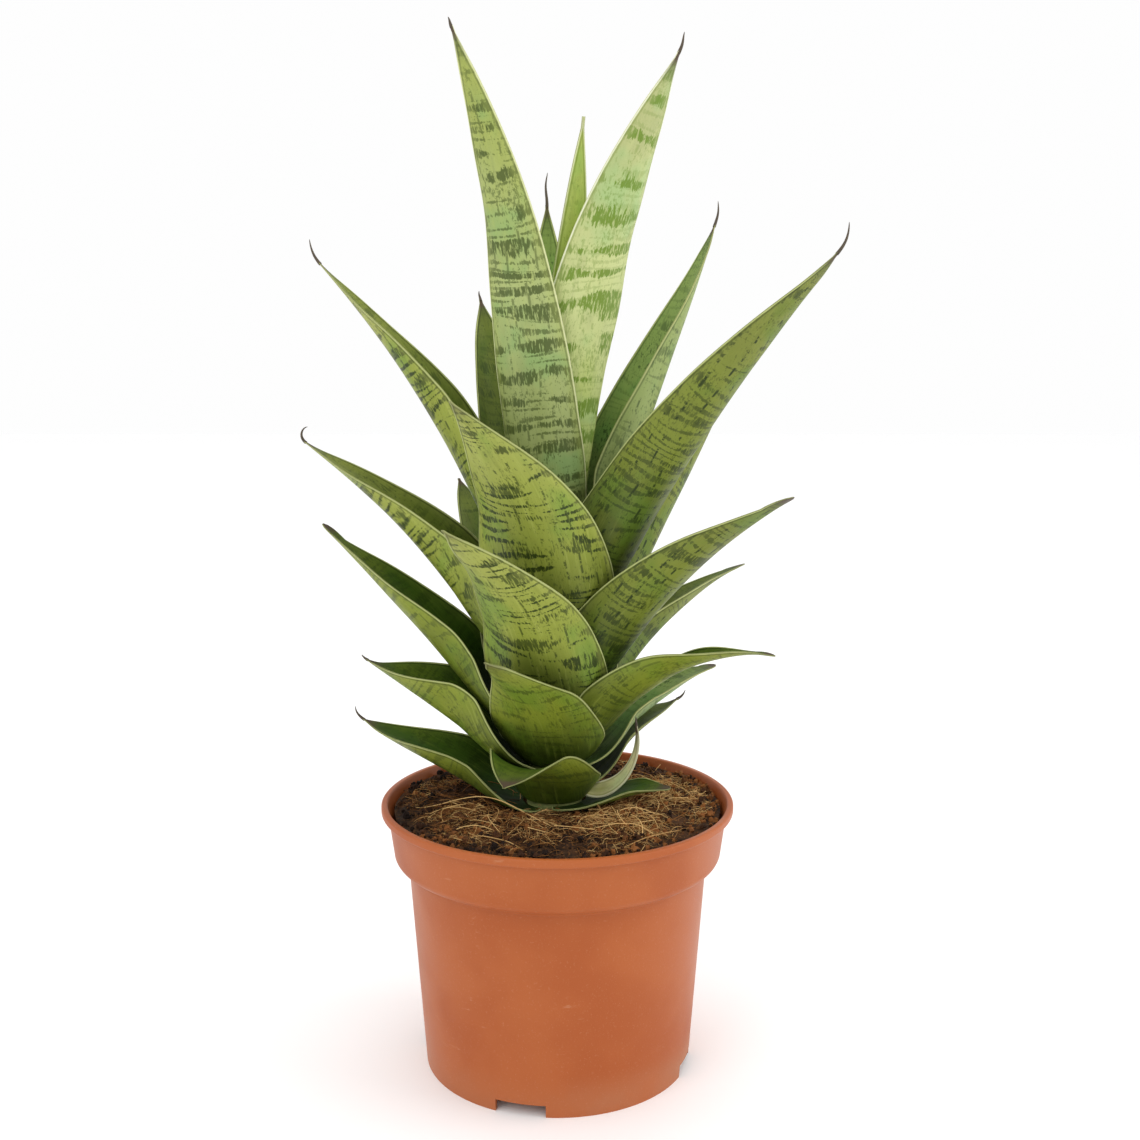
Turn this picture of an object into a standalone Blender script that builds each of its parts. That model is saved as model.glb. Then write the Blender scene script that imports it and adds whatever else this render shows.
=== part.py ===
"""Potted snake plant: a rosette of clasping leaves on a short stem, in a round nursery pot.

Metres, +Z up. The origin is the centre of the pot's foot, on the floor.
Azimuths are in degrees, measured from the front (-Y) towards the right (+X).
"""
import math

import bmesh
import bpy
import numpy as np

MM = 0.001
GAP = 0.3 * MM            # clearance between pieces that touch

# Pot, a turned shell
POT_HEIGHT = 92.4 * MM
RIM_RADIUS = 60.0 * MM
RIM_LIP_DEPTH = 2.8 * MM
RIM_LIP_WIDTH = 2.3 * MM
COLLAR_TOP_RADIUS = 57.7 * MM
COLLAR_BOTTOM_RADIUS = 55.9 * MM
COLLAR_BOTTOM_Z = 72.4 * MM
COLLAR_ROUND = 3.4 * MM
BODY_TOP_RADIUS = 51.1 * MM
BASE_RADIUS = 45.9 * MM
WALL = 1.5 * MM
FLOOR_UNDERSIDE_Z = 5.2 * MM
FLOOR_TOP_Z = 7.0 * MM
FOOT_INNER_RADIUS = 44.2 * MM
POT_SEGMENTS = 40

# Openings in the foot ring
NOTCH_COUNT = 4
NOTCH_WIDTH = 17.0 * MM
NOTCH_HEIGHT = 4.2 * MM
NOTCH_FIRST_AZIMUTH = -15.0

# Soil, mounded towards the plant. Its top rings: radius, height in mm, and shift to the plant
SOIL_CLEARANCE = 0.4 * MM
SOIL_EDGE_Z = 87.6 * MM
SOIL_TOP = ((48.0, 88.8, 0.15), (40.0, 90.2, 0.4), (33.0, 91.6, 0.7), (28.5, 91.6, 0.9),
            (24.0, 90.3, 1.0), (20.0, 89.2, 1.0), (15.0, 88.5, 1.0), (11.4, 88.2, 1.0))
SOIL_WELL_RADIUS = 11.4 * MM
SOIL_WELL_Z = 76.0 * MM

# Stem
PLANT_X = -1.0 * MM
PLANT_Y = 5.0 * MM
STEM_BOTTOM_Z = 76.3 * MM
STEM_TOP_Z = 200.0 * MM
STEM_BOTTOM_RADIUS = 10.5 * MM
STEM_TOP_RADIUS = 3.0 * MM
STEM_SEGMENTS = 16

# Leaf section
LEAF_RINGS = 11
LEAF_ACROSS = 7
LEAF_MARGIN = 0.55 * MM
LEAF_BASE_THICKNESS = 1.1 * MM
LEAF_BODY_THICKNESS = 2.4 * MM
THICKEN_LENGTH = 45.0 * MM
LEAF_TIP_WIDTH = 0.9 * MM
FLARE_ANGLE = 34.0
FLARE_LENGTH = 5.0 * MM
FREEING_REACH = 12.0 * MM
CHANNEL_REACH = 20.0 * MM
CLASP_ANGLE = 76.0
CLASP_LIMIT = 19.0 * MM

# Colours, linear
TERRACOTTA = (0.48, 0.145, 0.05)
SOIL_BROWN = (0.12, 0.055, 0.02)
STEM_GREEN = (0.32, 0.36, 0.12)
OLD_LEAF_GREEN = (0.12, 0.165, 0.025)
YOUNG_LEAF_GREEN = (0.34, 0.41, 0.13)
DRY_STRAW = (0.62, 0.56, 0.36)

# Leaves from the lowest to the innermost. Angles in degrees, sizes in millimetres:
# name: azimuth, height of the base, lean at the base and at the tip, bend (1 even, 2 late),
# length, width, clasping radius, channel radius at the tip, sideways drift, clasping length,
# roll about the middle
LEAVES = {
    "leaf_a0": (-99, 90.0, 64, 62, 1.0, 65, 42, 20, 14, 0, 22, 0),
    "leaf_c1": (72, 90.8, 58, 84, 1.0, 34, 30, 20, 14, 0, 16, 0),
    "leaf_b1": (-18, 92.4, 10, 108, 1.0, 40, 44, 20, 18, -12, 19, 0),
    "dry_scale": (80, 94.5, 50, 4, 1.0, 33, 9, 20, 14, 0, 0, 0),
    "leaf_d0": (123, 96, 42, 76, 1.0, 50, 26, 16, 12, 0, 5, 0),
    "leaf_e1": (197, 98, 46, 64, 1.0, 40, 28, 18, 14, 0, 9, 0),
    "leaf_a1": (-97, 102, 48, 61, 1.0, 67, 58, 22, 12, 0, 22, 0),
    "leaf_d1": (121, 103.5, 46, 80, 1.0, 64, 34, 18, 12, 0, 18, 0),
    "leaf_b2": (-8, 105.0, 26, 50, 1.0, 58, 48, 22, 20, -18, 28, 0),
    "leaf_e2": (195, 107, 40, 57, 1.0, 62, 38, 20, 14, 0, 26, 0),
    "leaf_c2": (58, 110, 35, 91, 1.4, 85, 36, 15, 12, 0, 18, 8),
    "leaf_a2": (-97, 111.5, 38, 46, 1.0, 102, 46, 22, 13, 0, 30, 0),
    "leaf_d2": (123, 114, 34, 76, 1.2, 91, 38, 17, 12, 0, 20, 14),
    "leaf_b3": (-9, 117, 25, 46, 1.0, 95, 52, 22, 20, -20, 38, 0),
    "leaf_e3": (212, 120.5, 31, 42, 1.0, 96, 42, 21, 14, 0, 20, 0),
    "leaf_c3": (57, 126, 32, 61, 1.3, 109, 48, 17, 13, 0, 25, 7),
    "leaf_a3": (-97, 128, 24, 56, 0.9, 118, 54, 24, 14, 0, 42, 0),
    "leaf_d3": (122, 131.5, 31, 32, 1.0, 133, 38, 15, 12, 0, 22, 12),
    "leaf_b4": (-5, 137, 20, 34, 1.0, 106, 60, 24, 22, -26, 46, 0),
    "leaf_e4": (207, 143, 19, 26, 1.0, 131, 46, 24, 14, 0, 46, 0),
    "leaf_c4": (60, 149, 28, 43, 1.2, 157, 52, 16, 12, 0, 36, 8),
    "leaf_a4": (-94, 155, 17, 43, 1.0, 141, 52, 24, 14, 0, 48, 0),
    "leaf_d4": (119, 161, 24, 22, 1.0, 141, 50, 15, 12, 0, 24, 12),
    "leaf_b5": (-20, 169, 7, 29, 1.3, 177, 33, 20, 12, -9, 56, 0),
    "leaf_e5": (187, 174, 7, 4, 1.0, 124, 32, 18, 14, 0, 36, 0),
    "leaf_c5": (41, 179, 4, 37, 1.4, 164, 46, 18, 18, 0, 40, 0),
    "leaf_b6": (24, 190, 0, 14, 1.0, 127, 19, 14, 9, 0, 20, 0),
}


def clear_scene():
    """Remove everything the scene starts with."""
    for item in list(bpy.data.objects):
        bpy.data.objects.remove(item, do_unlink=True)


def make_material(name, colour, roughness, metallic=0.0):
    """A plain surface with one colour."""
    material = bpy.data.materials.new(name)
    material.use_nodes = True
    shader = material.node_tree.nodes["Principled BSDF"]
    shader.inputs["Base Color"].default_value = (*colour, 1.0)
    shader.inputs["Roughness"].default_value = roughness
    shader.inputs["Metallic"].default_value = metallic
    return material


def make_object(name, points, faces, material):
    """A closed, outward-facing, smooth-shaded object."""
    mesh = bpy.data.meshes.new(name)
    mesh.from_pydata([tuple(map(float, point)) for point in points], [], faces)
    work = bmesh.new()
    work.from_mesh(mesh)
    bmesh.ops.recalc_face_normals(work, faces=work.faces)
    work.to_mesh(mesh)
    work.free()
    mesh.materials.append(material)
    mesh.shade_smooth()
    mesh.set_sharp_from_angle(angle=math.radians(35.0))
    thing = bpy.data.objects.new(name, mesh)
    bpy.context.collection.objects.link(thing)
    return thing


def turned(name, profile, segments, material):
    """Turn a closed profile of (radius, height, shift) about the vertical; radius 0 closes it.

    Shift moves a ring's centre from the pot's axis (0) to the plant's axis (1).
    """
    points, rings = [], []
    for radius, height, shift in profile:
        if radius < 1e-7:
            rings.append([len(points)] * segments)
            points.append((shift * PLANT_X, shift * PLANT_Y, height))
            continue
        rings.append(list(range(len(points), len(points) + segments)))
        for step in range(segments):
            angle = 2.0 * math.pi * step / segments
            points.append((shift * PLANT_X + radius * math.cos(angle),
                           shift * PLANT_Y + radius * math.sin(angle), height))
    faces = []
    for lower, upper in zip(rings, rings[1:] + rings[:1]):
        for step in range(segments):
            after = (step + 1) % segments
            corners = [lower[step], lower[after], upper[after], upper[step]]
            kept = list(dict.fromkeys(corners))
            if len(kept) > 2:
                faces.append(kept)
    return make_object(name, points, faces, material)


def pot_outside():
    """The pot's outer section from the foot to the underside of the lip."""
    slope = (BODY_TOP_RADIUS - BASE_RADIUS) / COLLAR_BOTTOM_Z
    section = [
        (BASE_RADIUS, 0.0),
        (BODY_TOP_RADIUS - slope * 1.5 * MM, COLLAR_BOTTOM_Z - 1.5 * MM),
        (BODY_TOP_RADIUS + 0.6 * MM, COLLAR_BOTTOM_Z - 0.5 * MM),
    ]
    for step in range(4):
        turn = math.radians(90.0 * step / 3.0)
        section.append((COLLAR_BOTTOM_RADIUS - COLLAR_ROUND * (1.0 - math.sin(turn)),
                        COLLAR_BOTTOM_Z + COLLAR_ROUND * (1.0 - math.cos(turn))))
    return section


def pot_rim():
    """The lip's section, over the top and back to the inside wall."""
    under = POT_HEIGHT - RIM_LIP_DEPTH
    return [
        (COLLAR_TOP_RADIUS, under - 0.4 * MM),
        (RIM_RADIUS - 0.6 * MM, under),
        (RIM_RADIUS, under + 0.7 * MM),
        (RIM_RADIUS, POT_HEIGHT - 0.7 * MM),
        (RIM_RADIUS - 0.6 * MM, POT_HEIGHT),
        (RIM_RADIUS - RIM_LIP_WIDTH + 0.4 * MM, POT_HEIGHT),
        (RIM_RADIUS - RIM_LIP_WIDTH, POT_HEIGHT - 0.6 * MM),
    ]


def pot_inside():
    """The pot's inner section from the rim down to the edge of the floor."""
    return [
        (COLLAR_TOP_RADIUS - WALL, POT_HEIGHT - 5.0 * MM),
        (COLLAR_BOTTOM_RADIUS - WALL, COLLAR_BOTTOM_Z + 3.2 * MM),
        (COLLAR_BOTTOM_RADIUS - WALL - 1.6 * MM, COLLAR_BOTTOM_Z + 1.2 * MM),
        (BODY_TOP_RADIUS - WALL, COLLAR_BOTTOM_Z - 0.6 * MM),
        (FOOT_INNER_RADIUS + 0.6 * MM, FLOOR_TOP_Z + 1.2 * MM),
        (FOOT_INNER_RADIUS - 0.8 * MM, FLOOR_TOP_Z),
    ]


def pot_floor():
    """The raised floor and the inside of the foot ring."""
    return [
        (0.0, FLOOR_TOP_Z),
        (0.0, FLOOR_UNDERSIDE_Z),
        (FOOT_INNER_RADIUS, FLOOR_UNDERSIDE_Z),
        (FOOT_INNER_RADIUS, 0.0),
    ]


def build_pot(material):
    """The pot: one turned shell with drainage notches in its foot."""
    section = pot_outside() + pot_rim() + pot_inside() + pot_floor()
    pot = turned("pot", [(radius, height, 0.0) for radius, height in section], POT_SEGMENTS, material)
    cut_notches(pot)


def cut_notches(pot):
    """Cut the drainage notches through the foot ring."""
    for index in range(NOTCH_COUNT):
        azimuth = math.radians(NOTCH_FIRST_AZIMUTH + 360.0 * index / NOTCH_COUNT)
        bpy.ops.mesh.primitive_cube_add(size=1.0)
        cutter = bpy.context.object
        cutter.name = f"notch_cutter_{index}"
        cutter.dimensions = (NOTCH_WIDTH, 8.0 * MM, 2.0 * NOTCH_HEIGHT)
        cutter.rotation_euler = (0.0, 0.0, azimuth)
        cutter.location = (BASE_RADIUS * math.sin(azimuth), -BASE_RADIUS * math.cos(azimuth), 0.0)
        cutter.hide_render = True
        cutter.display_type = "WIRE"
        cut = pot.modifiers.new(f"notch_{index}", "BOOLEAN")
        cut.operation = "DIFFERENCE"
        cut.solver = "EXACT"
        cut.object = cutter


def build_soil(material):
    """The soil plug, mounded on top, with a dish and a well that take the leaf bases and stem."""
    sides = [(radius - SOIL_CLEARANCE, height + SOIL_CLEARANCE, 0.0)
             for radius, height in reversed(pot_inside()[1:])]
    edge = [(COLLAR_TOP_RADIUS - WALL - 0.9 * MM, SOIL_EDGE_Z, 0.0)]
    top = [(radius * MM, height * MM, shift) for radius, height, shift in SOIL_TOP]
    well = [(SOIL_WELL_RADIUS, SOIL_WELL_Z, 1.0), (0.0, SOIL_WELL_Z, 1.0)]
    bottom = [(0.0, FLOOR_TOP_Z + GAP, 0.0)]
    turned("soil", bottom + sides + edge + top + well, POT_SEGMENTS, material)


def stem_radius(height):
    """Radius of the stem, which tapers upwards."""
    share = (height - STEM_BOTTOM_Z) / (STEM_TOP_Z - STEM_BOTTOM_Z)
    return STEM_BOTTOM_RADIUS + (STEM_TOP_RADIUS - STEM_BOTTOM_RADIUS) * share


def build_stem(material):
    """The short stem that the leaves clasp, rounded at its growing end."""
    shoulder_z = STEM_TOP_Z - 4.0 * MM
    section = [(0.0, STEM_BOTTOM_Z), (STEM_BOTTOM_RADIUS, STEM_BOTTOM_Z),
               (stem_radius(140.0 * MM), 140.0 * MM), (stem_radius(shoulder_z), shoulder_z),
               (0.7 * STEM_TOP_RADIUS, STEM_TOP_Z - 1.2 * MM), (0.0, STEM_TOP_Z)]
    turned("stem", [(radius, height, 1.0) for radius, height in section], STEM_SEGMENTS, material)


def smooth(value):
    """Ease from 0 to 1."""
    value = np.clip(value, 0.0, 1.0)
    return value * value * (3.0 - 2.0 * value)


def leaf_midrib(spec, samples):
    """Radius, height, lean and azimuth along the middle of a leaf."""
    azimuth, base, lean_base, lean_tip, bend, length, _, _, _, drift, _, _ = spec
    fine = np.linspace(0.0, 1.0, 241)
    arc = fine * length * MM
    lean = np.radians(lean_base + (lean_tip - lean_base) * fine ** bend
                      + FLARE_ANGLE * np.exp(-arc / FLARE_LENGTH))
    lean = np.minimum(lean, np.radians(np.maximum(88.0, lean_tip)))
    step = length * MM / 240.0
    start = stem_radius(base * MM) + 3.0 * GAP + 0.5 * LEAF_BASE_THICKNESS
    radius = start + np.concatenate([[0.0], np.cumsum(np.sin(0.5 * (lean[1:] + lean[:-1])) * step)])
    height = base * MM + np.concatenate([[0.0], np.cumsum(np.cos(0.5 * (lean[1:] + lean[:-1])) * step)])
    heading = np.radians(azimuth + drift * fine ** 2)
    return [np.interp(samples, fine, track) for track in (radius, height, lean, heading)]


def leaf_width(spec, samples):
    """Width along the leaf: wrapped round the stem at first, then broad, then drawn out."""
    radius = leaf_midrib(spec, samples)[0]
    wrapped = 2.0 * math.radians(CLASP_ANGLE) * np.minimum(radius, CLASP_LIMIT)
    taper = np.clip(1.0 - samples, 0.0, 1.0)
    narrow = np.sin(0.5 * math.pi * taper ** 0.98) ** 0.85 * (1.0 - 0.45 * np.exp(-taper / 0.05))
    hold = 1.0 - smooth((samples * spec[5] + 0.01) / (spec[10] + 0.001))
    return np.maximum(wrapped * hold + spec[6] * MM * narrow * (1.0 - hold), LEAF_TIP_WIDTH)


def leaf_point(spec, along, across):
    """A point of the leaf's middle surface; across runs from -1 to 1."""
    radius, height, lean, heading = leaf_midrib(spec, along)
    offset = 0.5 * across * leaf_width(spec, along)
    away = np.stack([np.sin(heading), -np.cos(heading), 0.0 * heading], -1)
    side = np.stack([np.cos(heading), np.sin(heading), 0.0 * heading], -1)
    up = np.array([0.0, 0.0, 1.0])
    turn = offset / radius
    clasp = (away * (radius * np.cos(turn))[..., None] + side * (radius * np.sin(turn))[..., None]
             + up * height[..., None])
    free = smooth((radius - spec[7] * MM) / FREEING_REACH)
    wrap = np.minimum(radius, spec[7] * MM)
    bend = 1.0 / (wrap + (spec[8] * MM - wrap) * smooth((radius - spec[7] * MM) / CHANNEL_REACH))
    inward = -np.cos(lean)[..., None] * away + np.sin(lean)[..., None] * up
    roll = math.radians(spec[11])
    inward, side = (math.cos(roll) * inward + math.sin(roll) * side,
                    math.cos(roll) * side - math.sin(roll) * inward)
    trough = (away * radius[..., None] + up * height[..., None]
              + side * (np.sin(bend * offset) / bend)[..., None]
              + inward * ((1.0 - np.cos(bend * offset)) / bend)[..., None])
    mixed = clasp * (1.0 - free)[..., None] + trough * free[..., None]
    return mixed + np.array([PLANT_X, PLANT_Y, 0.0])


def leaf_normal(spec, along, across):
    """Unit normal of the middle surface, on the outer side of the leaf."""
    small = 1e-3
    low = np.clip(along - small, 0.0, 1.0)
    high = np.clip(along + small, 0.0, 1.0)
    lengthwise = leaf_point(spec, high, across) - leaf_point(spec, low, across)
    sideways = leaf_point(spec, along, across + small) - leaf_point(spec, along, across - small)
    normal = np.cross(sideways, lengthwise)
    return normal / np.linalg.norm(normal, axis=-1, keepdims=True)


def leaf_thickness(spec, along, across):
    """Thickness: fullest at the middle, thin at the margins and the tip."""
    arc = along * spec[5] * MM
    middle = LEAF_BASE_THICKNESS + (LEAF_BODY_THICKNESS - LEAF_BASE_THICKNESS) * smooth(arc / THICKEN_LENGTH)
    middle = middle * (1.0 - 0.75 * along ** 2)
    return LEAF_MARGIN * (1.0 - 0.3 * along) + np.maximum(middle - LEAF_MARGIN, 0.0) * (1.0 - across ** 2)


def build_leaf(name, spec, material):
    """One leaf as a closed shell: outer face, inner face, two margins and both ends."""
    along, across = np.meshgrid(np.linspace(0.0, 1.0, LEAF_RINGS) ** 1.15,
                                np.linspace(-1.0, 1.0, LEAF_ACROSS), indexing="ij")
    middle = leaf_point(spec, along, across)
    normal = leaf_normal(spec, along, across)
    half = 0.5 * leaf_thickness(spec, along, across)[..., None]
    rings = np.concatenate([middle + half * normal, (middle - half * normal)[:, ::-1]], axis=1)
    count = 2 * LEAF_ACROSS
    faces = []
    for start in (0, (LEAF_RINGS - 1) * count):
        for step in range(LEAF_ACROSS - 1):
            faces.append([start + step, start + step + 1,
                          start + count - 2 - step, start + count - 1 - step])
    for ring in range(LEAF_RINGS - 1):
        for step in range(count):
            after = (step + 1) % count
            faces.append([ring * count + step, ring * count + after,
                          (ring + 1) * count + after, (ring + 1) * count + step])
    make_object(name, rings.reshape(-1, 3), faces, material)


def leaf_colour(name, base):
    """Paler green towards the young leaves at the top; straw for the dried scale leaf."""
    if name == "dry_scale":
        return DRY_STRAW
    young = (base * MM - SOIL_EDGE_Z) / (STEM_TOP_Z - SOIL_EDGE_Z)
    return tuple(old + (new - old) * young for old, new in zip(OLD_LEAF_GREEN, YOUNG_LEAF_GREEN))


def main():
    """Build the pot, the soil, the stem and every leaf."""
    clear_scene()
    pot_plastic = make_material("pot_plastic", TERRACOTTA, 0.5)
    soil_crumb = make_material("soil_crumb", SOIL_BROWN, 0.95)
    stem_flesh = make_material("stem_flesh", STEM_GREEN, 0.6)
    build_pot(pot_plastic)
    build_soil(soil_crumb)
    build_stem(stem_flesh)
    for name, spec in LEAVES.items():
        build_leaf(name, spec, make_material(name + "_skin", leaf_colour(name, spec[1]), 0.45))


main()
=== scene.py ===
"""Potted snake plant: banded leaves, dried tips, stem, coarse soil and a round nursery pot.

Metres, +Z up. The origin is the centre of the pot's foot, on the floor. Azimuths are in
degrees, measured from the front (-Y) towards the right (+X).
"""

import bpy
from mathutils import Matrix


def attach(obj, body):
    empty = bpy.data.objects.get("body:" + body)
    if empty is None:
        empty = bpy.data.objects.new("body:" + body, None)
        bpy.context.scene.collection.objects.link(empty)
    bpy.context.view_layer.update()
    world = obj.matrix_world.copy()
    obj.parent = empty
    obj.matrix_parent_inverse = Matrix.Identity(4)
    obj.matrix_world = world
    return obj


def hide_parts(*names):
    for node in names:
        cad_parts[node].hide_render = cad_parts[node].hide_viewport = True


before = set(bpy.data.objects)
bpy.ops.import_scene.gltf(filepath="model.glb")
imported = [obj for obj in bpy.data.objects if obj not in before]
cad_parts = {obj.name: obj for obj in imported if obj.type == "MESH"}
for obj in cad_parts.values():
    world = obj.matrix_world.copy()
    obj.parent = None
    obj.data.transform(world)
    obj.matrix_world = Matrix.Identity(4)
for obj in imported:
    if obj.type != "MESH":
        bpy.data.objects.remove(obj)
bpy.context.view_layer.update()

import logging
import math
from dataclasses import dataclass, field
from enum import Enum

import bpy
import numpy as np
from mathutils import Vector, noise

LOG = logging.getLogger("snake_plant")
MM = 0.001
FULL_TURN = 2.0 * math.pi
Colour = tuple[float, float, float]
Point = tuple[float, float, float]
Sockets = bpy.types.bpy_prop_collection


# ---------------------------------------------------------------------------- node graphs
@dataclass(frozen=True)
class Value:
    """A node's output; sums with numbers and other outputs add Math nodes."""

    graph: "Graph"
    socket: bpy.types.NodeSocket

    def __add__(self, other: object) -> "Value":
        """The sum."""
        return self.graph.math("ADD", self, other)

    def __sub__(self, other: object) -> "Value":
        """The difference."""
        return self.graph.math("SUBTRACT", self, other)

    def __mul__(self, other: object) -> "Value":
        """The product."""
        return self.graph.math("MULTIPLY", self, other)

    def __truediv__(self, other: object) -> "Value":
        """The quotient."""
        return self.graph.math("DIVIDE", self, other)


class Graph:
    """A node tree while it is being put together."""

    def __init__(self, tree: bpy.types.NodeTree) -> None:
        """Take hold of a tree."""
        self.tree = tree

    def add(self, kind: str, inputs: dict | None = None, **settings: object) -> bpy.types.Node:
        """Add a node.

        Args:
            kind: the node's type name.
            inputs: socket name or number to a value or to another node's output.
            settings: the node's own properties.

        Returns:
            The new node.
        """
        node = self.tree.nodes.new(kind)
        for key, value in settings.items():
            setattr(node, key, value)
        for key, value in (inputs or {}).items():
            socket = live_socket(node.inputs, key) if isinstance(key, str) else node.inputs[key]
            self.feed(socket, value)
        return node

    def out(self, kind: str, inputs: dict | None = None, result: str = "", **settings: object) -> Value:
        """Add a node and take its first output, or the one that is named.

        Args:
            kind: the node's type name.
            inputs: socket name or number to a value or to another node's output.
            result: the output's name.
            settings: the node's own properties.

        Returns:
            The output.
        """
        outputs = self.add(kind, inputs, **settings).outputs
        return Value(self, live_socket(outputs, result) if result else outputs[0])

    def feed(self, socket: bpy.types.NodeSocket, value: object) -> None:
        """Link an output to a socket, or set the socket's own value.

        Args:
            socket: the input that is fed.
            value: an output or a plain value.
        """
        if isinstance(value, Value):
            self.tree.links.new(value.socket, socket)
        else:
            socket.default_value = value

    def math(self, operation: str, *values: object) -> Value:
        """A Math node's result."""
        return self.out("ShaderNodeMath", dict(enumerate(values)), operation=operation)

    def ease(self, value: object, low: float, high: float, before: float = 0.0, after: float = 1.0) -> Value:
        """A soft step from one level to another.

        Args:
            value: the number that is looked at.
            low: where the step starts.
            high: where the step ends.
            before: the level before it.
            after: the level after it.

        Returns:
            The level.
        """
        levels = dict(enumerate((value, low, high, before, after)))
        return self.out("ShaderNodeMapRange", levels, interpolation_type="SMOOTHSTEP")

    def mix(self, share: object, first: object, second: object) -> Value:
        """Mix two colours.

        Args:
            share: share of the second colour.
            first: the first colour, three numbers or an output.
            second: the second colour, three numbers or an output.

        Returns:
            The mixed colour.
        """
        first, second = ((*item, 1.0) if isinstance(item, tuple) else item for item in (first, second))
        node = self.add("ShaderNodeMix", {0: share, 6: first, 7: second}, data_type="RGBA")
        return Value(self, node.outputs[2])

    def grain(self, vector: object, scale: float, detail: float = 2.0, roughness: float = 0.55) -> Value:
        """Noise on a set of coordinates.

        Args:
            vector: the coordinates.
            scale: cells per unit.
            detail: how many finer layers are added.
            roughness: how strong the finer layers are.

        Returns:
            The noise, from 0 to 1.
        """
        return self.out("ShaderNodeTexNoise", {"Vector": vector, "Scale": scale, "Detail": detail,
                                               "Roughness": roughness})

    def streaks(self, vector: object, scale: tuple[float, ...], detail: float = 2.0,
                roughness: float = 0.55, shift: Colour = (0.0, 0.0, 0.0)) -> Value:
        """Noise with its own scale along each axis.

        Args:
            vector: the coordinates.
            scale: cells per unit along two or three axes.
            detail: how many finer layers are added.
            roughness: how strong the finer layers are.
            shift: how far the pattern is moved.

        Returns:
            The noise, from 0 to 1.
        """
        moved = self.out("ShaderNodeMapping", {"Vector": vector, "Location": shift,
                                               "Scale": (*scale, 1.0)[:3]})
        return self.grain(moved, 1.0, detail, roughness)

    def stored(self, name: str) -> Value:
        """A number that the mesh stores."""
        return self.out("ShaderNodeAttribute", result="Fac", attribute_name=name)

    def point(self, x: object = 0.0, y: object = 0.0, z: object = 0.0) -> Value:
        """Three numbers as one vector."""
        return self.out("ShaderNodeCombineXYZ", {"X": x, "Y": y, "Z": z})

    def around(self, radius: Value, turn: Value, height: object = 0.0) -> Value:
        """A point at an azimuth and a distance from the vertical axis."""
        front = self.math("COSINE", turn) * -1.0
        return self.point(radius * self.math("SINE", turn), radius * front, height)

    def random(self, kind: str, low: object, high: object, seed: Value) -> Value:
        """A seeded random number or vector for each point."""
        return self.out("FunctionNodeRandomValue", {"Min": low, "Max": high, "Seed": seed}, "Value",
                        data_type=kind)

    def axis(self, vector: object, name: str) -> Value:
        """One number of a vector."""
        return self.out("ShaderNodeSeparateXYZ", {0: vector}, name)

    def place(self) -> Value:
        """The object's own coordinates, in a material."""
        return self.out("ShaderNodeTexCoord", result="Object")


def live_socket(sockets: Sockets, name: str) -> bpy.types.NodeSocket:
    """The socket of a name that is in use, on a node with one for each data type.

    Args:
        sockets: the node's inputs or outputs.
        name: the socket's name.

    Returns:
        The socket.
    """
    return next(socket for socket in sockets if socket.name == name and socket.enabled)


@dataclass(frozen=True)
class Finish:
    """A material with a Principled surface."""

    name: str
    roughness: float = 0.5
    specular: float = 0.25

    def make(self) -> bpy.types.Material:
        """Build the finish.

        Returns:
            The finished material.
        """
        material = bpy.data.materials.new(self.name)
        material.use_nodes = True
        shader = material.node_tree.nodes["Principled BSDF"]
        shader.inputs["Roughness"].default_value = self.roughness
        shader.inputs["Specular IOR Level"].default_value = self.specular
        self.dress(Graph(material.node_tree), shader.inputs)
        return material

    def dress(self, graph: Graph, surface: Sockets) -> None:
        """Add the pattern.

        Args:
            graph: the material's graph.
            surface: the surface shader's inputs.
        """

    def paint(self, graph: Graph, surface: Sockets, colour: Value, rough: Value, height: Value,
              depth: float, strength: float = 1.0) -> None:
        """Give the surface its colour, roughness and fine relief.

        Args:
            graph: the material's graph.
            surface: the surface shader's inputs.
            colour: the colour.
            rough: the roughness.
            height: the relief's height, from 0 to 1.
            depth: how deep the relief is, in metres.
            strength: how strongly it shows.
        """
        bump = graph.out("ShaderNodeBump", {"Strength": strength, "Distance": depth, "Height": height})
        graph.feed(surface["Base Color"], colour)
        graph.feed(surface["Roughness"], rough)
        graph.feed(surface["Normal"], bump)


# ------------------------------------------------------------------------- leaf finishes
class Side(Enum):
    """The two faces of a leaf."""

    OUTER = 0
    INNER = 1


class Tone(Enum):
    """The kinds of leaf colour on the plant."""

    SILVER = "silver"
    PALE = "pale"
    YOUNG = "young"
    BLUE = "blue"
    OLIVE = "olive"
    DARK = "dark"
    DEEP = "deep"
    STRAW = "straw"


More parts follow.
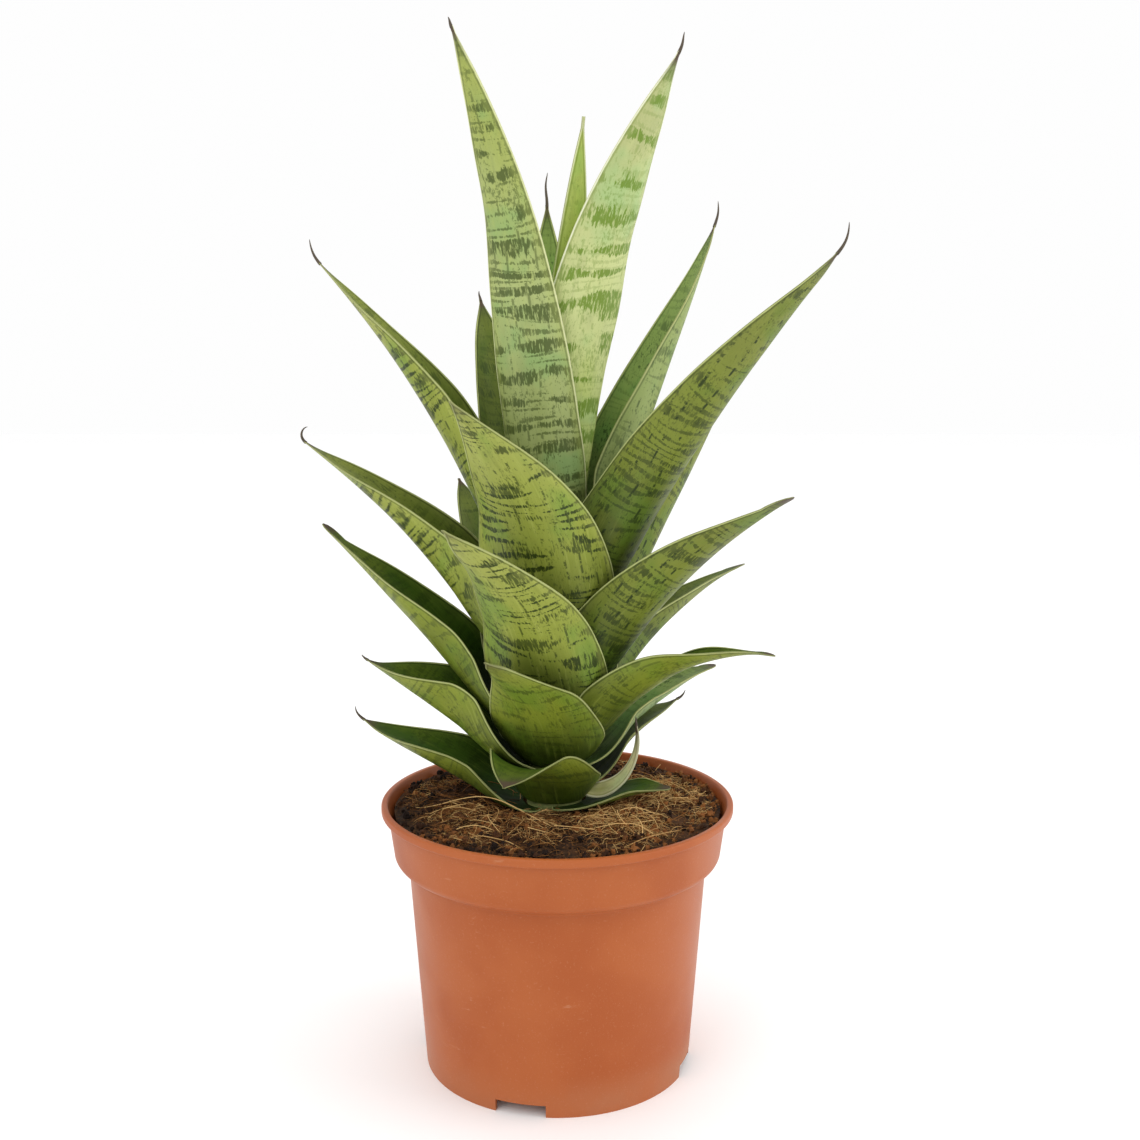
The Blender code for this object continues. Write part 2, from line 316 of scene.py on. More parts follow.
@dataclass(frozen=True)
class LeafFinish(Finish):
    """One face of a leaf: ground colours from base to tip, and its dark crossbands.

    Coordinates are centimetres across and along the leaf.
    """

    # Colour at the base: the leaf's green darkened with painted shade, where the leaves crowd round the
    # stem.
    base: Colour = (0.15, 0.19, 0.025)
    middle: Colour = (0.30, 0.35, 0.075)
    tip: Colour = (0.36, 0.40, 0.11)
    band: Colour = (0.045, 0.080, 0.012)
    band_strength: float = 0.85
    band_gap: float = 1.15
    band_start: float = 0.95
    patchiness: float = 4.4
    line_strength: float = 0.8
    dash_strength: float = 0.75
    speck_strength: float = 0.5
    edge: Colour = (0.42, 0.46, 0.18)
    browning: float = 0.55

    def dress(self, graph: Graph, surface: Sockets) -> None:
        """Ground colour, dark marks, margin, waxy sheen and fine ridges.

        Args:
            graph: the material's graph.
            surface: the surface shader's inputs.
        """
        plan = self.plan(graph)
        colour = graph.mix(self.marks(graph, plan), self.ground(graph, plan), self.band)
        colour = self.margin(graph, plan, colour)
        wax = graph.streaks(plan, (2.0, 0.7), 3.0)
        rough = graph.ease(wax, 0.3, 0.7, self.roughness - 0.07, self.roughness + 0.10)
        ridges = graph.streaks(plan, (14.0, 0.5), 3.0, 0.6)
        pores = graph.streaks(plan, (30.0, 16.0))
        self.paint(graph, surface, colour, rough, ridges * 0.75 + pores * 0.25, 0.22 * MM, 0.75)

    def plan(self, graph: Graph) -> Value:
        """Coordinates across and along the leaf, shifted so that no two leaves match.

        Args:
            graph: the material's graph.

        Returns:
            The coordinates, in centimetres.
        """
        flat = graph.out("ShaderNodeUVMap", uv_map="leaf_plan")
        seed = graph.stored("leaf_seed")
        return graph.point(graph.axis(flat, "X"), graph.axis(flat, "Y") + seed * 3.7, seed)

    def ground(self, graph: Graph, plan: Value) -> Value:
        """The colour under the bands: darker at the base with painted shade, clouded and faintly streaked.

        Args:
            graph: the material's graph.
            plan: the leaf's coordinates.

        Returns:
            The colour.
        """
        lighter = tuple(min(1.0, channel * 1.30 + 0.012) for channel in self.tip)
        deeper = tuple(channel * 0.62 for channel in self.middle)
        fresher = tuple(channel * share for channel, share in zip(self.middle, (0.58, 0.84, 0.75)))
        cloud = graph.streaks(plan, (0.7, 0.35), 3.0)
        place = graph.stored("along") + (cloud - 0.5) * 0.45
        # Painted shade: the colour darkens from the middle down to the base, where the leaves crowd round
        # the stem.
        colour = graph.mix(graph.ease(place, 0.12, 0.55), self.base, self.middle)
        colour = graph.mix(graph.ease(place, 0.50, 0.95), colour, self.tip)
        streak = graph.streaks(plan, (9.0, 0.45), 4.0, 0.65)
        colour = graph.mix(graph.ease(streak, 0.52, 0.80, 0.0, 0.55), colour, lighter)
        colour = graph.mix(graph.ease(streak, 0.46, 0.22, 0.0, 0.50), colour, deeper)
        patch = graph.streaks(plan, (1.6, 0.9))
        colour = graph.mix(graph.ease(patch, 0.52, 0.75, 0.0, 0.35), colour, deeper)
        fresh = graph.streaks(plan, (0.50, 0.42, 1.3), 3.0)
        return graph.mix(graph.ease(fresh, 0.48, 0.66, 0.0, 0.65), colour, fresher)

    def marks(self, graph: Graph, plan: Value) -> Value:
        """Crossbands and fine crosslines of short strokes, with dashes and specks between them.

        Args:
            graph: the material's graph.
            plan: the leaf's coordinates.

        Returns:
            How dark the surface is, from 0 to 1.
        """
        fray = graph.streaks(plan, (13.0, 1.6), 3.0, 0.75)
        place = graph.axis(plan, "Y") + graph.streaks(plan, (0.14, 0.45)) * 2.4
        strokes = graph.streaks(plan, (17.0, 3.2), 3.0, 0.6)
        grit = (strokes - 0.5) * 1.8
        wide = self.lines(graph, plan, place + fray * (self.band_gap * 0.42), grit, self.band_gap,
                          (0.8, 0.8), self.band_start, 0.30)
        fine = self.lines(graph, plan, place + fray * 0.13, grit, 0.30, (0.65, 0.75), 0.72, 0.38)
        band = graph.math("MAXIMUM", wide * self.band_strength, fine * self.line_strength)
        band = band * graph.ease(strokes, 0.36, 0.50, 0.20, 1.0)
        row = graph.axis(plan, "X") * 2.1 + graph.streaks(plan, (0.5, 0.25), 1.0) * 1.5
        off_line = graph.math("ABSOLUTE", graph.math("FRACT", row) - 0.5) + (fray - 0.5) * 0.16
        gate = graph.streaks(plan, (1.9, 2.8), 4.0, 0.7)
        dash = graph.ease(off_line, 0.11, 0.045) * graph.ease(gate, 0.50, 0.56) * self.dash_strength
        crowd = graph.streaks(plan, (1.1, 0.8), 1.0)
        speck = graph.streaks(plan, (15.0, 6.0), 3.0, 0.7) + (crowd - 0.5) * 0.35
        speck = graph.ease(speck, 0.57, 0.66, 0.0, self.speck_strength)
        return graph.math("MAXIMUM", graph.math("MAXIMUM", band, dash), speck)

    def lines(self, graph: Graph, plan: Value, place: Value, grit: Value, gap: float,
              patch: tuple[float, float], start: float, reach: float) -> Value:
        """Crosslines at an even gap, present in some patches and missing in others.

        Args:
            graph: the material's graph.
            plan: the leaf's coordinates.
            place: distance along the leaf, already frayed.
            grit: fine unevenness of the lines' strength.
            gap: distance from line to line, in centimetres.
            patch: how fine the patches are across and along.
            start: the level where the lines start.
            reach: how much higher they are full.

        Returns:
            How strong the lines are, from 0 to 1.
        """
        wave = graph.math("SINE", place * (FULL_TURN / gap))
        broken = graph.streaks(plan, patch, shift=(gap * 7.0, gap * 3.0, gap)) - 0.5
        return graph.ease(wave + (broken * self.patchiness + grit), start, start + reach)

    def margin(self, graph: Graph, plan: Value, colour: Value) -> Value:
        """Paler flanks, a thin pale rim with a dark line inside it, and a browned tip.

        Args:
            graph: the material's graph.
            plan: the leaf's coordinates.
            colour: the colour so far.

        Returns:
            The colour with its rim and tip.
        """
        reach = graph.stored("edge_mm")
        waver = graph.streaks(plan, (1.0, 3.0))
        flank = tuple(min(1.0, channel * 1.10 + 0.008) for channel in self.tip)
        colour = graph.mix(graph.ease(reach, 4.0, 0.8, 0.0, 0.30), colour, flank)
        line = graph.ease(graph.math("ABSOLUTE", reach - 0.75), 0.40, 0.10, 0.0, 0.55)
        colour = graph.mix(line, colour, tuple(0.5 * channel for channel in self.base))
        colour = graph.mix(graph.ease(reach - waver * 0.35, 0.32, 0.05), colour, self.edge)
        end = graph.stored("tip_mm") + waver * -6.0
        colour = graph.mix(graph.ease(end, 9.0, 0.0, 0.0, self.browning), colour, (0.055, 0.070, 0.020))
        return graph.mix(graph.ease(end, 2.5, -1.5, 0.0, 1.8 * self.browning), colour, (0.085, 0.060, 0.038))


# Each base colour is the leaf's green darkened with painted shade, for the crowding near the stem.
LEAF_FINISHES: dict[tuple[Tone, Side], LeafFinish] = {
    (Tone.PALE, Side.OUTER): LeafFinish(
        "leaf_pale_outer", 0.52, base=(0.44, 0.53, 0.14), middle=(0.55, 0.60, 0.26), tip=(0.40, 0.43, 0.18),
        band=(0.13, 0.23, 0.012), band_strength=0.90, band_gap=1.05, band_start=0.30,
        line_strength=0.30, dash_strength=0.35, speck_strength=0.50, edge=(0.74, 0.76, 0.55)),
    (Tone.SILVER, Side.OUTER): LeafFinish(
        "leaf_silver_outer", 0.52, base=(0.24, 0.29, 0.085), middle=(0.38, 0.445, 0.165),
        tip=(0.32, 0.37, 0.085), band=(0.045, 0.070, 0.009), band_strength=0.85, band_gap=0.85,
        band_start=0.55, line_strength=0.70, dash_strength=0.60, speck_strength=0.60,
        edge=(0.62, 0.65, 0.33)),
    (Tone.YOUNG, Side.OUTER): LeafFinish(
        "leaf_young_outer", 0.50, base=(0.36, 0.48, 0.06), middle=(0.47, 0.57, 0.13), tip=(0.48, 0.55, 0.15),
        band=(0.12, 0.20, 0.02), band_strength=0.30, line_strength=0.1, dash_strength=0.30,
        speck_strength=0.40, edge=(0.72, 0.74, 0.45), browning=0.1),
    (Tone.BLUE, Side.OUTER): LeafFinish(
        "leaf_blue_outer", 0.50, base=(0.10, 0.135, 0.030), middle=(0.29, 0.36, 0.115),
        tip=(0.26, 0.33, 0.100), band=(0.045, 0.078, 0.018), band_strength=0.70, band_gap=0.7,
        line_strength=0.5, dash_strength=0.75, speck_strength=0.60),
    (Tone.OLIVE, Side.OUTER): LeafFinish(
        "leaf_olive_outer", 0.50, base=(0.070, 0.100, 0.008), middle=(0.270, 0.315, 0.045),
        tip=(0.345, 0.375, 0.085), band=(0.022, 0.038, 0.003), band_strength=0.80, band_gap=1.1,
        line_strength=0.95, browning=0.2),
    (Tone.DARK, Side.OUTER): LeafFinish(
        "leaf_dark_outer", 0.50, base=(0.045, 0.070, 0.006), middle=(0.185, 0.225, 0.028),
        tip=(0.180, 0.205, 0.036), band=(0.018, 0.032, 0.003), band_strength=0.78, band_gap=1.0,
        band_start=0.95, line_strength=0.65, dash_strength=0.95),
    (Tone.DEEP, Side.OUTER): LeafFinish(
        "leaf_deep_outer", 0.50, base=(0.045, 0.068, 0.005), middle=(0.205, 0.250, 0.022),
        tip=(0.245, 0.285, 0.040), band=(0.022, 0.040, 0.003), band_strength=0.60, band_gap=0.8,
        line_strength=0.55, dash_strength=0.5, speck_strength=0.45, browning=0.25),
    (Tone.PALE, Side.INNER): LeafFinish(
        "leaf_pale_inner", 0.50, base=(0.30, 0.38, 0.07), middle=(0.42, 0.52, 0.12), tip=(0.40, 0.47, 0.13),
        band=(0.14, 0.23, 0.03), band_strength=0.5, dash_strength=0.3, edge=(0.70, 0.72, 0.5)),
    (Tone.SILVER, Side.INNER): LeafFinish(
        "leaf_silver_inner", 0.50, base=(0.28, 0.40, 0.04), middle=(0.36, 0.48, 0.06),
        tip=(0.34, 0.43, 0.08), band=(0.12, 0.19, 0.02), band_strength=0.5, dash_strength=0.3,
        edge=(0.66, 0.68, 0.42)),
    (Tone.YOUNG, Side.INNER): LeafFinish(
        "leaf_young_inner", 0.48, base=(0.30, 0.45, 0.03), middle=(0.42, 0.56, 0.07), tip=(0.46, 0.56, 0.11),
        band=(0.16, 0.27, 0.02), band_strength=0.3, line_strength=0.1, dash_strength=0.2,
        speck_strength=0.3, edge=(0.72, 0.76, 0.42), browning=0.1),
    (Tone.BLUE, Side.INNER): LeafFinish(
        "leaf_blue_inner", 0.58, 0.14, base=(0.080, 0.125, 0.025), middle=(0.250, 0.355, 0.090),
        tip=(0.190, 0.270, 0.065), band=(0.035, 0.070, 0.014), band_strength=0.60,
        line_strength=0.3, dash_strength=0.3, speck_strength=0.75),
    (Tone.OLIVE, Side.INNER): LeafFinish(
        "leaf_olive_inner", 0.58, 0.14, base=(0.022, 0.036, 0.004), middle=(0.110, 0.150, 0.018),
        tip=(0.215, 0.250, 0.042), band=(0.028, 0.050, 0.006), band_strength=0.60,
        line_strength=0.3, dash_strength=0.3, speck_strength=0.65),
    (Tone.DARK, Side.INNER): LeafFinish(
        "leaf_dark_inner", 0.58, 0.14, base=(0.022, 0.036, 0.004), middle=(0.085, 0.120, 0.014),
        tip=(0.130, 0.165, 0.026), band=(0.022, 0.040, 0.006), band_strength=0.60,
        line_strength=0.3, dash_strength=0.3, speck_strength=0.6),
    (Tone.DEEP, Side.INNER): LeafFinish(
        "leaf_deep_inner", 0.72, 0.10, base=(0.011, 0.024, 0.002), middle=(0.046, 0.092, 0.006),
        tip=(0.105, 0.150, 0.014), band=(0.014, 0.030, 0.003), band_strength=0.5,
        line_strength=0.3, dash_strength=0.3, speck_strength=0.6),
    (Tone.STRAW, Side.OUTER): LeafFinish(
        "leaf_straw_outer", 0.62, base=(0.50, 0.50, 0.17), middle=(0.76, 0.72, 0.36), tip=(0.74, 0.68, 0.38),
        band=(0.30, 0.22, 0.11), band_strength=0.15, line_strength=0.1, dash_strength=0.4,
        speck_strength=0.3, edge=(0.74, 0.70, 0.50)),
    (Tone.STRAW, Side.INNER): LeafFinish(
        "leaf_straw_inner", 0.62, base=(0.52, 0.52, 0.18), middle=(0.78, 0.74, 0.38), tip=(0.76, 0.70, 0.40),
        band=(0.30, 0.22, 0.11), band_strength=0.15, line_strength=0.1, dash_strength=0.3,
        speck_strength=0.3, edge=(0.74, 0.70, 0.50)),
}


# ------------------------------------------------------------------------- other finishes
@dataclass(frozen=True)
class TintedFinish(Finish):
    """Strands, crumbs and beads whose colour follows a stored tint, from 0 to 1."""

    dark: Colour = (0.03, 0.015, 0.006)
    mid: Colour = (0.16, 0.075, 0.025)
    light: Colour = (0.46, 0.30, 0.12)
    cells: float = 900.0
    depth: float = 0.1 * MM

    def dress(self, graph: Graph, surface: Sockets) -> None:
        """Tint and grain.

        Args:
            graph: the material's graph.
            surface: the surface shader's inputs.
        """
        grain = graph.grain(graph.place(), self.cells, 3.0, 0.65)
        shade = graph.stored("tint") + (grain - 0.5) * 0.5
        colour = graph.mix(graph.ease(shade, 0.0, 0.55), self.dark, self.mid)
        colour = graph.mix(graph.ease(shade, 0.50, 1.0), colour, self.light)
        rough = graph.ease(grain, 0.3, 0.7, self.roughness - 0.1, min(1.0, self.roughness + 0.1))
        self.paint(graph, surface, colour, rough, grain, self.depth)


@dataclass(frozen=True)
class SoilFinish(Finish):
    """Dark peat, clotted and flecked with reddish and golden coir dust."""

    dark: Colour = (0.014, 0.007, 0.004)
    mid: Colour = (0.070, 0.030, 0.012)
    fleck: Colour = (0.26, 0.11, 0.030)

    def dress(self, graph: Graph, surface: Sockets) -> None:
        """Clots and dust.

        Args:
            graph: the material's graph.
            surface: the surface shader's inputs.
        """
        place = graph.place()
        clot = graph.grain(place, 160.0, 5.0, 0.65)
        dust = graph.grain(place, 900.0, 3.0, 0.7)
        colour = graph.mix(graph.ease(clot, 0.35, 0.65), self.dark, self.mid)
        colour = graph.mix(graph.ease(dust, 0.55, 0.72, 0.0, 0.85), colour, self.fleck)
        rough = graph.ease(dust, 0.3, 0.7, 0.85, 1.0)
        self.paint(graph, surface, colour, rough, clot * 0.6 + dust * 0.4, 1.2 * MM)


@dataclass(frozen=True)
class PotFinish(Finish):
    """Terracotta-coloured moulded plastic: satin, finely grained, clouded and lightly scuffed."""

    body: Colour = (0.410, 0.105, 0.026)
    warm: Colour = (0.370, 0.086, 0.019)
    worn: Colour = (0.52, 0.24, 0.13)
    dust: Colour = (0.46, 0.25, 0.14)

    def dress(self, graph: Graph, surface: Sockets) -> None:
        """Clouds, speckle, scuffs and dust at the foot.

        Args:
            graph: the material's graph.
            surface: the surface shader's inputs.
        """
        place = graph.place()
        cloud = graph.grain(place, 28.0, 3.0, 0.5)
        speckle = graph.grain(place, 1500.0, 2.0, 0.6)
        colour = graph.mix(graph.ease(cloud, 0.38, 0.66), self.body, self.warm)
        colour = graph.mix(graph.ease(speckle, 0.58, 0.75, 0.0, 0.22), colour, self.worn)
        scuff = graph.streaks(place, (130.0, 130.0, 520.0), 4.0, 0.6)
        where = graph.grain(place, 42.0, 1.0)
        marks = graph.ease(scuff, 0.62, 0.74) * graph.ease(where, 0.56, 0.70, 0.0, 0.55)
        colour = graph.mix(marks, colour, self.worn)
        low = graph.ease(graph.axis(place, "Z"), 0.016, 0.001)
        colour = graph.mix(low * graph.ease(cloud, 0.4, 0.7, 0.1, 0.4), colour, self.dust)
        rough = graph.ease(cloud, 0.3, 0.7, self.roughness - 0.04, self.roughness + 0.06) + marks * 0.25
        self.paint(graph, surface, colour, rough, graph.grain(place, 2600.0), 0.05 * MM, 0.7)


@dataclass(frozen=True)
class StemFinish(Finish):
    """Pale green stem with leaf scars and lengthwise fibres."""

    light: Colour = (0.36, 0.41, 0.15)
    shade: Colour = (0.15, 0.18, 0.05)

    def dress(self, graph: Graph, surface: Sockets) -> None:
        """Scars and fibres.

        Args:
            graph: the material's graph.
            surface: the surface shader's inputs.
        """
        place = graph.place()
        scars = graph.streaks(place, (30.0, 30.0, 220.0), 3.0)
        fibres = graph.streaks(place, (900.0, 900.0, 60.0), 3.0)
        colour = graph.mix(graph.ease(scars, 0.40, 0.65), self.light, self.shade)
        colour = graph.mix(graph.ease(fibres, 0.5, 0.8, 0.0, 0.5), colour, self.shade)
        self.paint(graph, surface, colour, graph.ease(scars, 0.3, 0.7, 0.45, 0.65), fibres, 0.2 * MM)


# ------------------------------------------------------------------------ geometry trees
def add_object(name: str, data: bpy.types.ID) -> bpy.types.Object:
    """Add an object to the scene.

    Args:
        name: the object's name.
        data: its mesh, light or camera.

    Returns:
        The object.
    """
    item = bpy.data.objects.new(name, data)
    bpy.context.collection.objects.link(item)
    return item


@dataclass
class GeometryTree:
    """A geometry node tree with named inputs, applied to a mesh and turned into a plain mesh."""

    name: str
    tree: bpy.types.NodeTree = field(init=False)
    graph: Graph = field(init=False)
    start: bpy.types.Node = field(init=False)

    def __post_init__(self) -> None:
        """Open the tree with its geometry sockets and its finish."""
        self.tree = bpy.data.node_groups.new(self.name, "GeometryNodeTree")
        self.take("NodeSocketGeometry", "Geometry")
        self.tree.interface.new_socket("Geometry", in_out="OUTPUT", socket_type="NodeSocketGeometry")
        self.take("NodeSocketMaterial", "Finish")
        self.graph = Graph(self.tree)
        self.start = self.graph.add("NodeGroupInput")

    def take(self, kind: str, *names: str) -> None:
        """Add named inputs of one socket type."""
        for name in names:
            self.tree.interface.new_socket(name, in_out="INPUT", socket_type=kind)

    def given(self, name: str) -> Value:
        """What a named input carries, inside the tree."""
        return Value(self.graph, self.start.outputs[name])

    def close(self, geometry: Value) -> None:
        """End the tree: realize what repeats, give it the finish and pass it out.

        Args:
            geometry: the finished geometry.
        """
        real = self.graph.out("GeometryNodeRealizeInstances", {"Geometry": geometry})
        finish = self.given("Finish")
        dressed = self.graph.out("GeometryNodeSetMaterial", {"Geometry": real, "Material": finish})
        self.graph.add("NodeGroupOutput", {"Geometry": dressed})

    def apply(self, name: str, mesh: bpy.types.Mesh, **sizes: object) -> bpy.types.Object:
        """Run the tree on a mesh.

        Args:
            name: the finished piece's name.
            mesh: the mesh that goes in.
            sizes: input name to value, with spaces written as underscores.

        Returns:
            A plain mesh object with no modifier.
        """
        source = add_object(name + "_source", mesh)
        modifier = source.modifiers.new(self.name, "NODES")
        modifier.node_group = self.tree
        keys = {item.name: item.identifier for item in self.tree.interface.items_tree
                if item.in_out == "INPUT"}
        for word, value in sizes.items():
            modifier[keys[word.replace("_", " ")]] = value
        scene = bpy.context.evaluated_depsgraph_get()
        result = bpy.data.meshes.new_from_object(source.evaluated_get(scene), depsgraph=scene)
        bpy.data.objects.remove(source, do_unlink=True)
        result.name = name
        return add_object(name, result)


def strand_tree() -> GeometryTree:
    """Round strands along edge paths, as thick as the path's own girth.

    Returns:
        The tree, with the input Sides.
    """
    tree = GeometryTree("strands")
    tree.take("NodeSocketInt", "Sides")
    graph = tree.graph
    path = graph.out("GeometryNodeMeshToCurve", {"Mesh": tree.given("Geometry")})
    girth = graph.out("GeometryNodeInputNamedAttribute", {"Name": "girth"}, data_type="FLOAT")
    path = graph.out("GeometryNodeSetCurveRadius", {"Curve": path, "Radius": girth})
    ring = graph.out("GeometryNodeCurvePrimitiveCircle", {"Resolution": tree.given("Sides"), "Radius": 1.0})
    tube = graph.out("GeometryNodeCurveToMesh", {"Curve": path, "Profile Curve": ring, "Scale": girth,
                                                 "Fill Caps": True})
    tree.close(graph.out("GeometryNodeSetShadeSmooth", {0: tube}))
    return tree


def turning_tree() -> GeometryTree:
    """Turn a closed section round the vertical and cut notches through its foot.

    Returns:
        The tree, with the inputs Steps, Rows and the notches' sizes.
    """
    tree = GeometryTree("turned_pot")
    tree.take("NodeSocketInt", "Steps", "Rows", "Notches")
    tree.take("NodeSocketFloat", "Foot Radius", "Notch Width", "Notch Height", "Notch Depth",
              "First Azimuth")
    graph = tree.graph
    steps, rows = tree.given("Steps"), tree.given("Rows")
    grid = graph.out("GeometryNodeMeshGrid", {"Vertices X": steps + 1.0, "Vertices Y": rows})
    index = graph.out("GeometryNodeInputIndex")
    turn = graph.math("FLOOR", (index + 0.5) / rows) * FULL_TURN / steps
    section = graph.out("GeometryNodeSampleIndex", {
        "Geometry": tree.given("Geometry"), "Value": graph.out("GeometryNodeInputPosition"),
        "Index": graph.math("MODULO", index, rows)}, data_type="FLOAT_VECTOR")
    place = graph.around(graph.axis(section, "X"), turn, graph.axis(section, "Z"))
    shell = graph.out("GeometryNodeSetPosition", {"Geometry": grid, "Position": place})
    shell = graph.out("GeometryNodeMergeByDistance", {"Geometry": shell, "Distance": 1e-6})
    tree.close(notched(tree, shell, index))
    return tree


def notched(tree: GeometryTree, shell: Value, index: Value) -> Value:
    """Cut evenly spaced notches through the foot of a turned shell.

    Args:
        tree: the turning tree.
        shell: the closed shell.
        index: the index field.

    Returns:
        The shell with its notches.
    """
    graph = tree.graph
    count = tree.given("Notches")
    azimuth = index * FULL_TURN / count + tree.given("First Azimuth")
    spot = graph.around(tree.given("Foot Radius"), azimuth)
    size = graph.point(tree.given("Notch Width"), tree.given("Notch Depth"),
                       tree.given("Notch Height") * 2.0)
    block = graph.out("GeometryNodeMeshCube", {"Size": size})
    spots = graph.out("GeometryNodePoints", {"Count": count, "Position": spot})
    facing = graph.out("FunctionNodeEulerToRotation", {0: graph.point(z=azimuth)})
    blocks = graph.out("GeometryNodeInstanceOnPoints", {"Points": spots, "Instance": block,
                                                        "Rotation": facing})
    blocks = graph.out("GeometryNodeRealizeInstances", {"Geometry": blocks})
    return graph.out("GeometryNodeMeshBoolean", {"Mesh 1": shell, "Mesh 2": blocks},
                     operation="DIFFERENCE", solver="EXACT")


class Litter(Enum):
    """What is strewn over the soil."""

    FIBRES = "fibres"
    CRUMBS = "crumbs"


def litter_tree(kind: Litter) -> GeometryTree:
    """Strew fibres or crumbs over a surface.

    Args:
        kind: what is strewn.

    Returns:
        The tree, with the inputs Density, Smallest, Largest, Lift, Tilt, Flatness and Seed.
    """
    tree = GeometryTree("strewn_" + kind.value)
    tree.take("NodeSocketFloat", "Density", "Smallest", "Largest", "Lift", "Tilt", "Flatness")
    tree.take("NodeSocketInt", "Seed")
    graph = tree.graph
    seed, tilt, smallest = tree.given("Seed"), tree.given("Tilt"), tree.given("Smallest")
    place = graph.out("GeometryNodeInputPosition")
    patch = graph.grain(place, 60.0, 2.0, 0.5)
    density = tree.given("Density") * graph.ease(patch, 0.35, 0.62, 0.35, 1.5)
    spots = graph.add("GeometryNodeDistributePointsOnFaces", {
        "Mesh": tree.given("Geometry"), "Density": density, "Seed": seed}, distribute_method="RANDOM")
    low = graph.point(tilt * -1.0, tilt * -1.0, -math.pi)
    lean = graph.random("FLOAT_VECTOR", low, graph.point(tilt, tilt, math.pi), seed + 1.0)
    turned = graph.out("FunctionNodeRotateRotation", {
        "Rotation": Value(graph, spots.outputs["Rotation"]),
        "Rotate By": graph.out("FunctionNodeEulerToRotation", {0: lean})}, rotation_space="LOCAL")
    share = graph.math("POWER", graph.random("FLOAT", 0.0, 1.0, seed + 2.0), 2.0)
    size = smallest + share * (tree.given("Largest") - smallest)
    raised = graph.point(z=graph.random("FLOAT", 0.0, tree.given("Lift"), seed + 3.0))
    points = graph.out("GeometryNodeSetPosition", {"Geometry": Value(graph, spots.outputs["Points"]),
                                                   "Offset": raised})
    strewn = graph.out("GeometryNodeInstanceOnPoints", {
        "Points": points, "Instance": fibre_shapes(graph) if kind is Litter.FIBRES else crumb_shapes(graph),
        "Pick Instance": True, "Rotation": turned,
        "Scale": graph.point(size, size, size * tree.given("Flatness"))})
    tint = graph.random("FLOAT", 0.0, 0.9, seed + 4.0)
    tint = tint + graph.ease(graph.axis(place, "X"), -0.02, 0.04, 0.0, 0.30)
    tint = tint + graph.ease(patch, 0.38, 0.58, -0.36, 0.16)
    tinted = graph.out("GeometryNodeStoreNamedAttribute", {
        "Geometry": strewn, "Name": "tint", "Value": tint}, data_type="FLOAT", domain="INSTANCE")
    tree.close(tinted)
    return tree


def choices(graph: Graph, shapes: list[Value]) -> Value:
    """Join shapes as instances to pick from.

    Args:
        graph: the tree's graph.
        shapes: the shapes.

    Returns:
        The shapes as instances.
    """
    joined = graph.add("GeometryNodeJoinGeometry")
    for shape in shapes:
        graph.feed(joined.inputs[0], graph.out("GeometryNodeGeometryToInstance", {0: shape}))
    return Value(graph, joined.outputs[0])


def fibre_shapes(graph: Graph) -> Value:
    """Five curved fibres of unit length.

    Args:
        graph: the tree's graph.

    Returns:
        The shapes as instances.
    """
    bends = ((0.10, 0.06, 0.0), (0.32, 0.16, 0.05), (-0.22, 0.24, -0.08), (0.45, 0.05, 0.12),
             (-0.38, 0.12, 0.2))
    ring = graph.out("GeometryNodeCurvePrimitiveCircle", {"Resolution": 4, "Radius": 0.0095})
    shapes = []
    for side, rise, skew in bends:
        arc = graph.out("GeometryNodeCurveQuadraticBezier", {
            "Resolution": 7, "Start": (-0.5, -skew, 0.0), "Middle": (skew, side, rise),
            "End": (0.5, skew, 0.02)})
        shapes.append(graph.out("GeometryNodeCurveToMesh", {"Curve": arc, "Profile Curve": ring,
                                                            "Fill Caps": True}))
    return choices(graph, shapes)


def crumb_shapes(graph: Graph) -> Value:
    """Four lumpy crumbs of unit radius.

    Args:
        graph: the tree's graph.

    Returns:
        The shapes as instances.
    """
    ball = graph.out("GeometryNodeMeshIcoSphere", {"Radius": 1.0, "Subdivisions": 2})
    place = graph.out("GeometryNodeInputPosition")
    shapes = []
    for number in range(4):
        shift = (3.1 * number, 1.7 * number, 0.0)
        spot = graph.out("ShaderNodeVectorMath", {0: place, 1: shift}, operation="ADD")
        lump = graph.ease(graph.grain(spot, 1.3, 1.0), 0.3, 0.7, 0.45, 1.25)
        pushed = graph.out("ShaderNodeVectorMath", {0: place, "Scale": lump}, operation="SCALE")
        shapes.append(graph.out("GeometryNodeSetPosition", {"Geometry": ball, "Position": pushed}))
    return choices(graph, shapes)


# --------------------------------------------------------------------------------- leaves
class Tip(Enum):
    """How a leaf ends."""

    THREAD = "a dried thread"
    BLUNT = "a rounded end"
    PLAIN = "a plain point"


@dataclass(frozen=True)
class LeafForm:
    """The shape of one leaf: angles in degrees, sizes in millimetres.

    The first twelve sizes are those of the leaf's solid. The rest are its finer character.
    """

    azimuth: float
    base: float
    lean_base: float
    lean_tip: float
    bend: float
    length: float
    width: float
    clasp_radius: float
    channel_radius: float
    drift: float
    clasp_length: float
    roll: float
    tone: Tone = Tone.OLIVE
    end: Tip = Tip.PLAIN
    thread: float = 0.0
    thread_curl: float = 0.0
    ruffle: float = 0.4


@dataclass
class Stem:
    """The short tapered stem that the leaves clasp."""

    x: float = -1.0 * MM
    y: float = 5.0 * MM
    bottom_z: float = 76.3 * MM
    top_z: float = 200.0 * MM
    bottom_radius: float = 10.5 * MM
    top_radius: float = 3.0 * MM

    def radius(self, height: float) -> float:
        """Radius at a height.

        Args:
            height: the height, in metres.

        Returns:
            The radius, in metres.
        """
        share = (height - self.bottom_z) / (self.top_z - self.bottom_z)
        return self.bottom_radius + (self.top_radius - self.bottom_radius) * share

    def dress(self) -> None:
        """Give the stem's own solid its finish."""
        finish = StemFinish("stem_fibrous", 0.55).make()
        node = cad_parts["stem"]
        node.data.materials.clear()
        node.data.materials.append(finish)
        LOG.info("stem dressed")


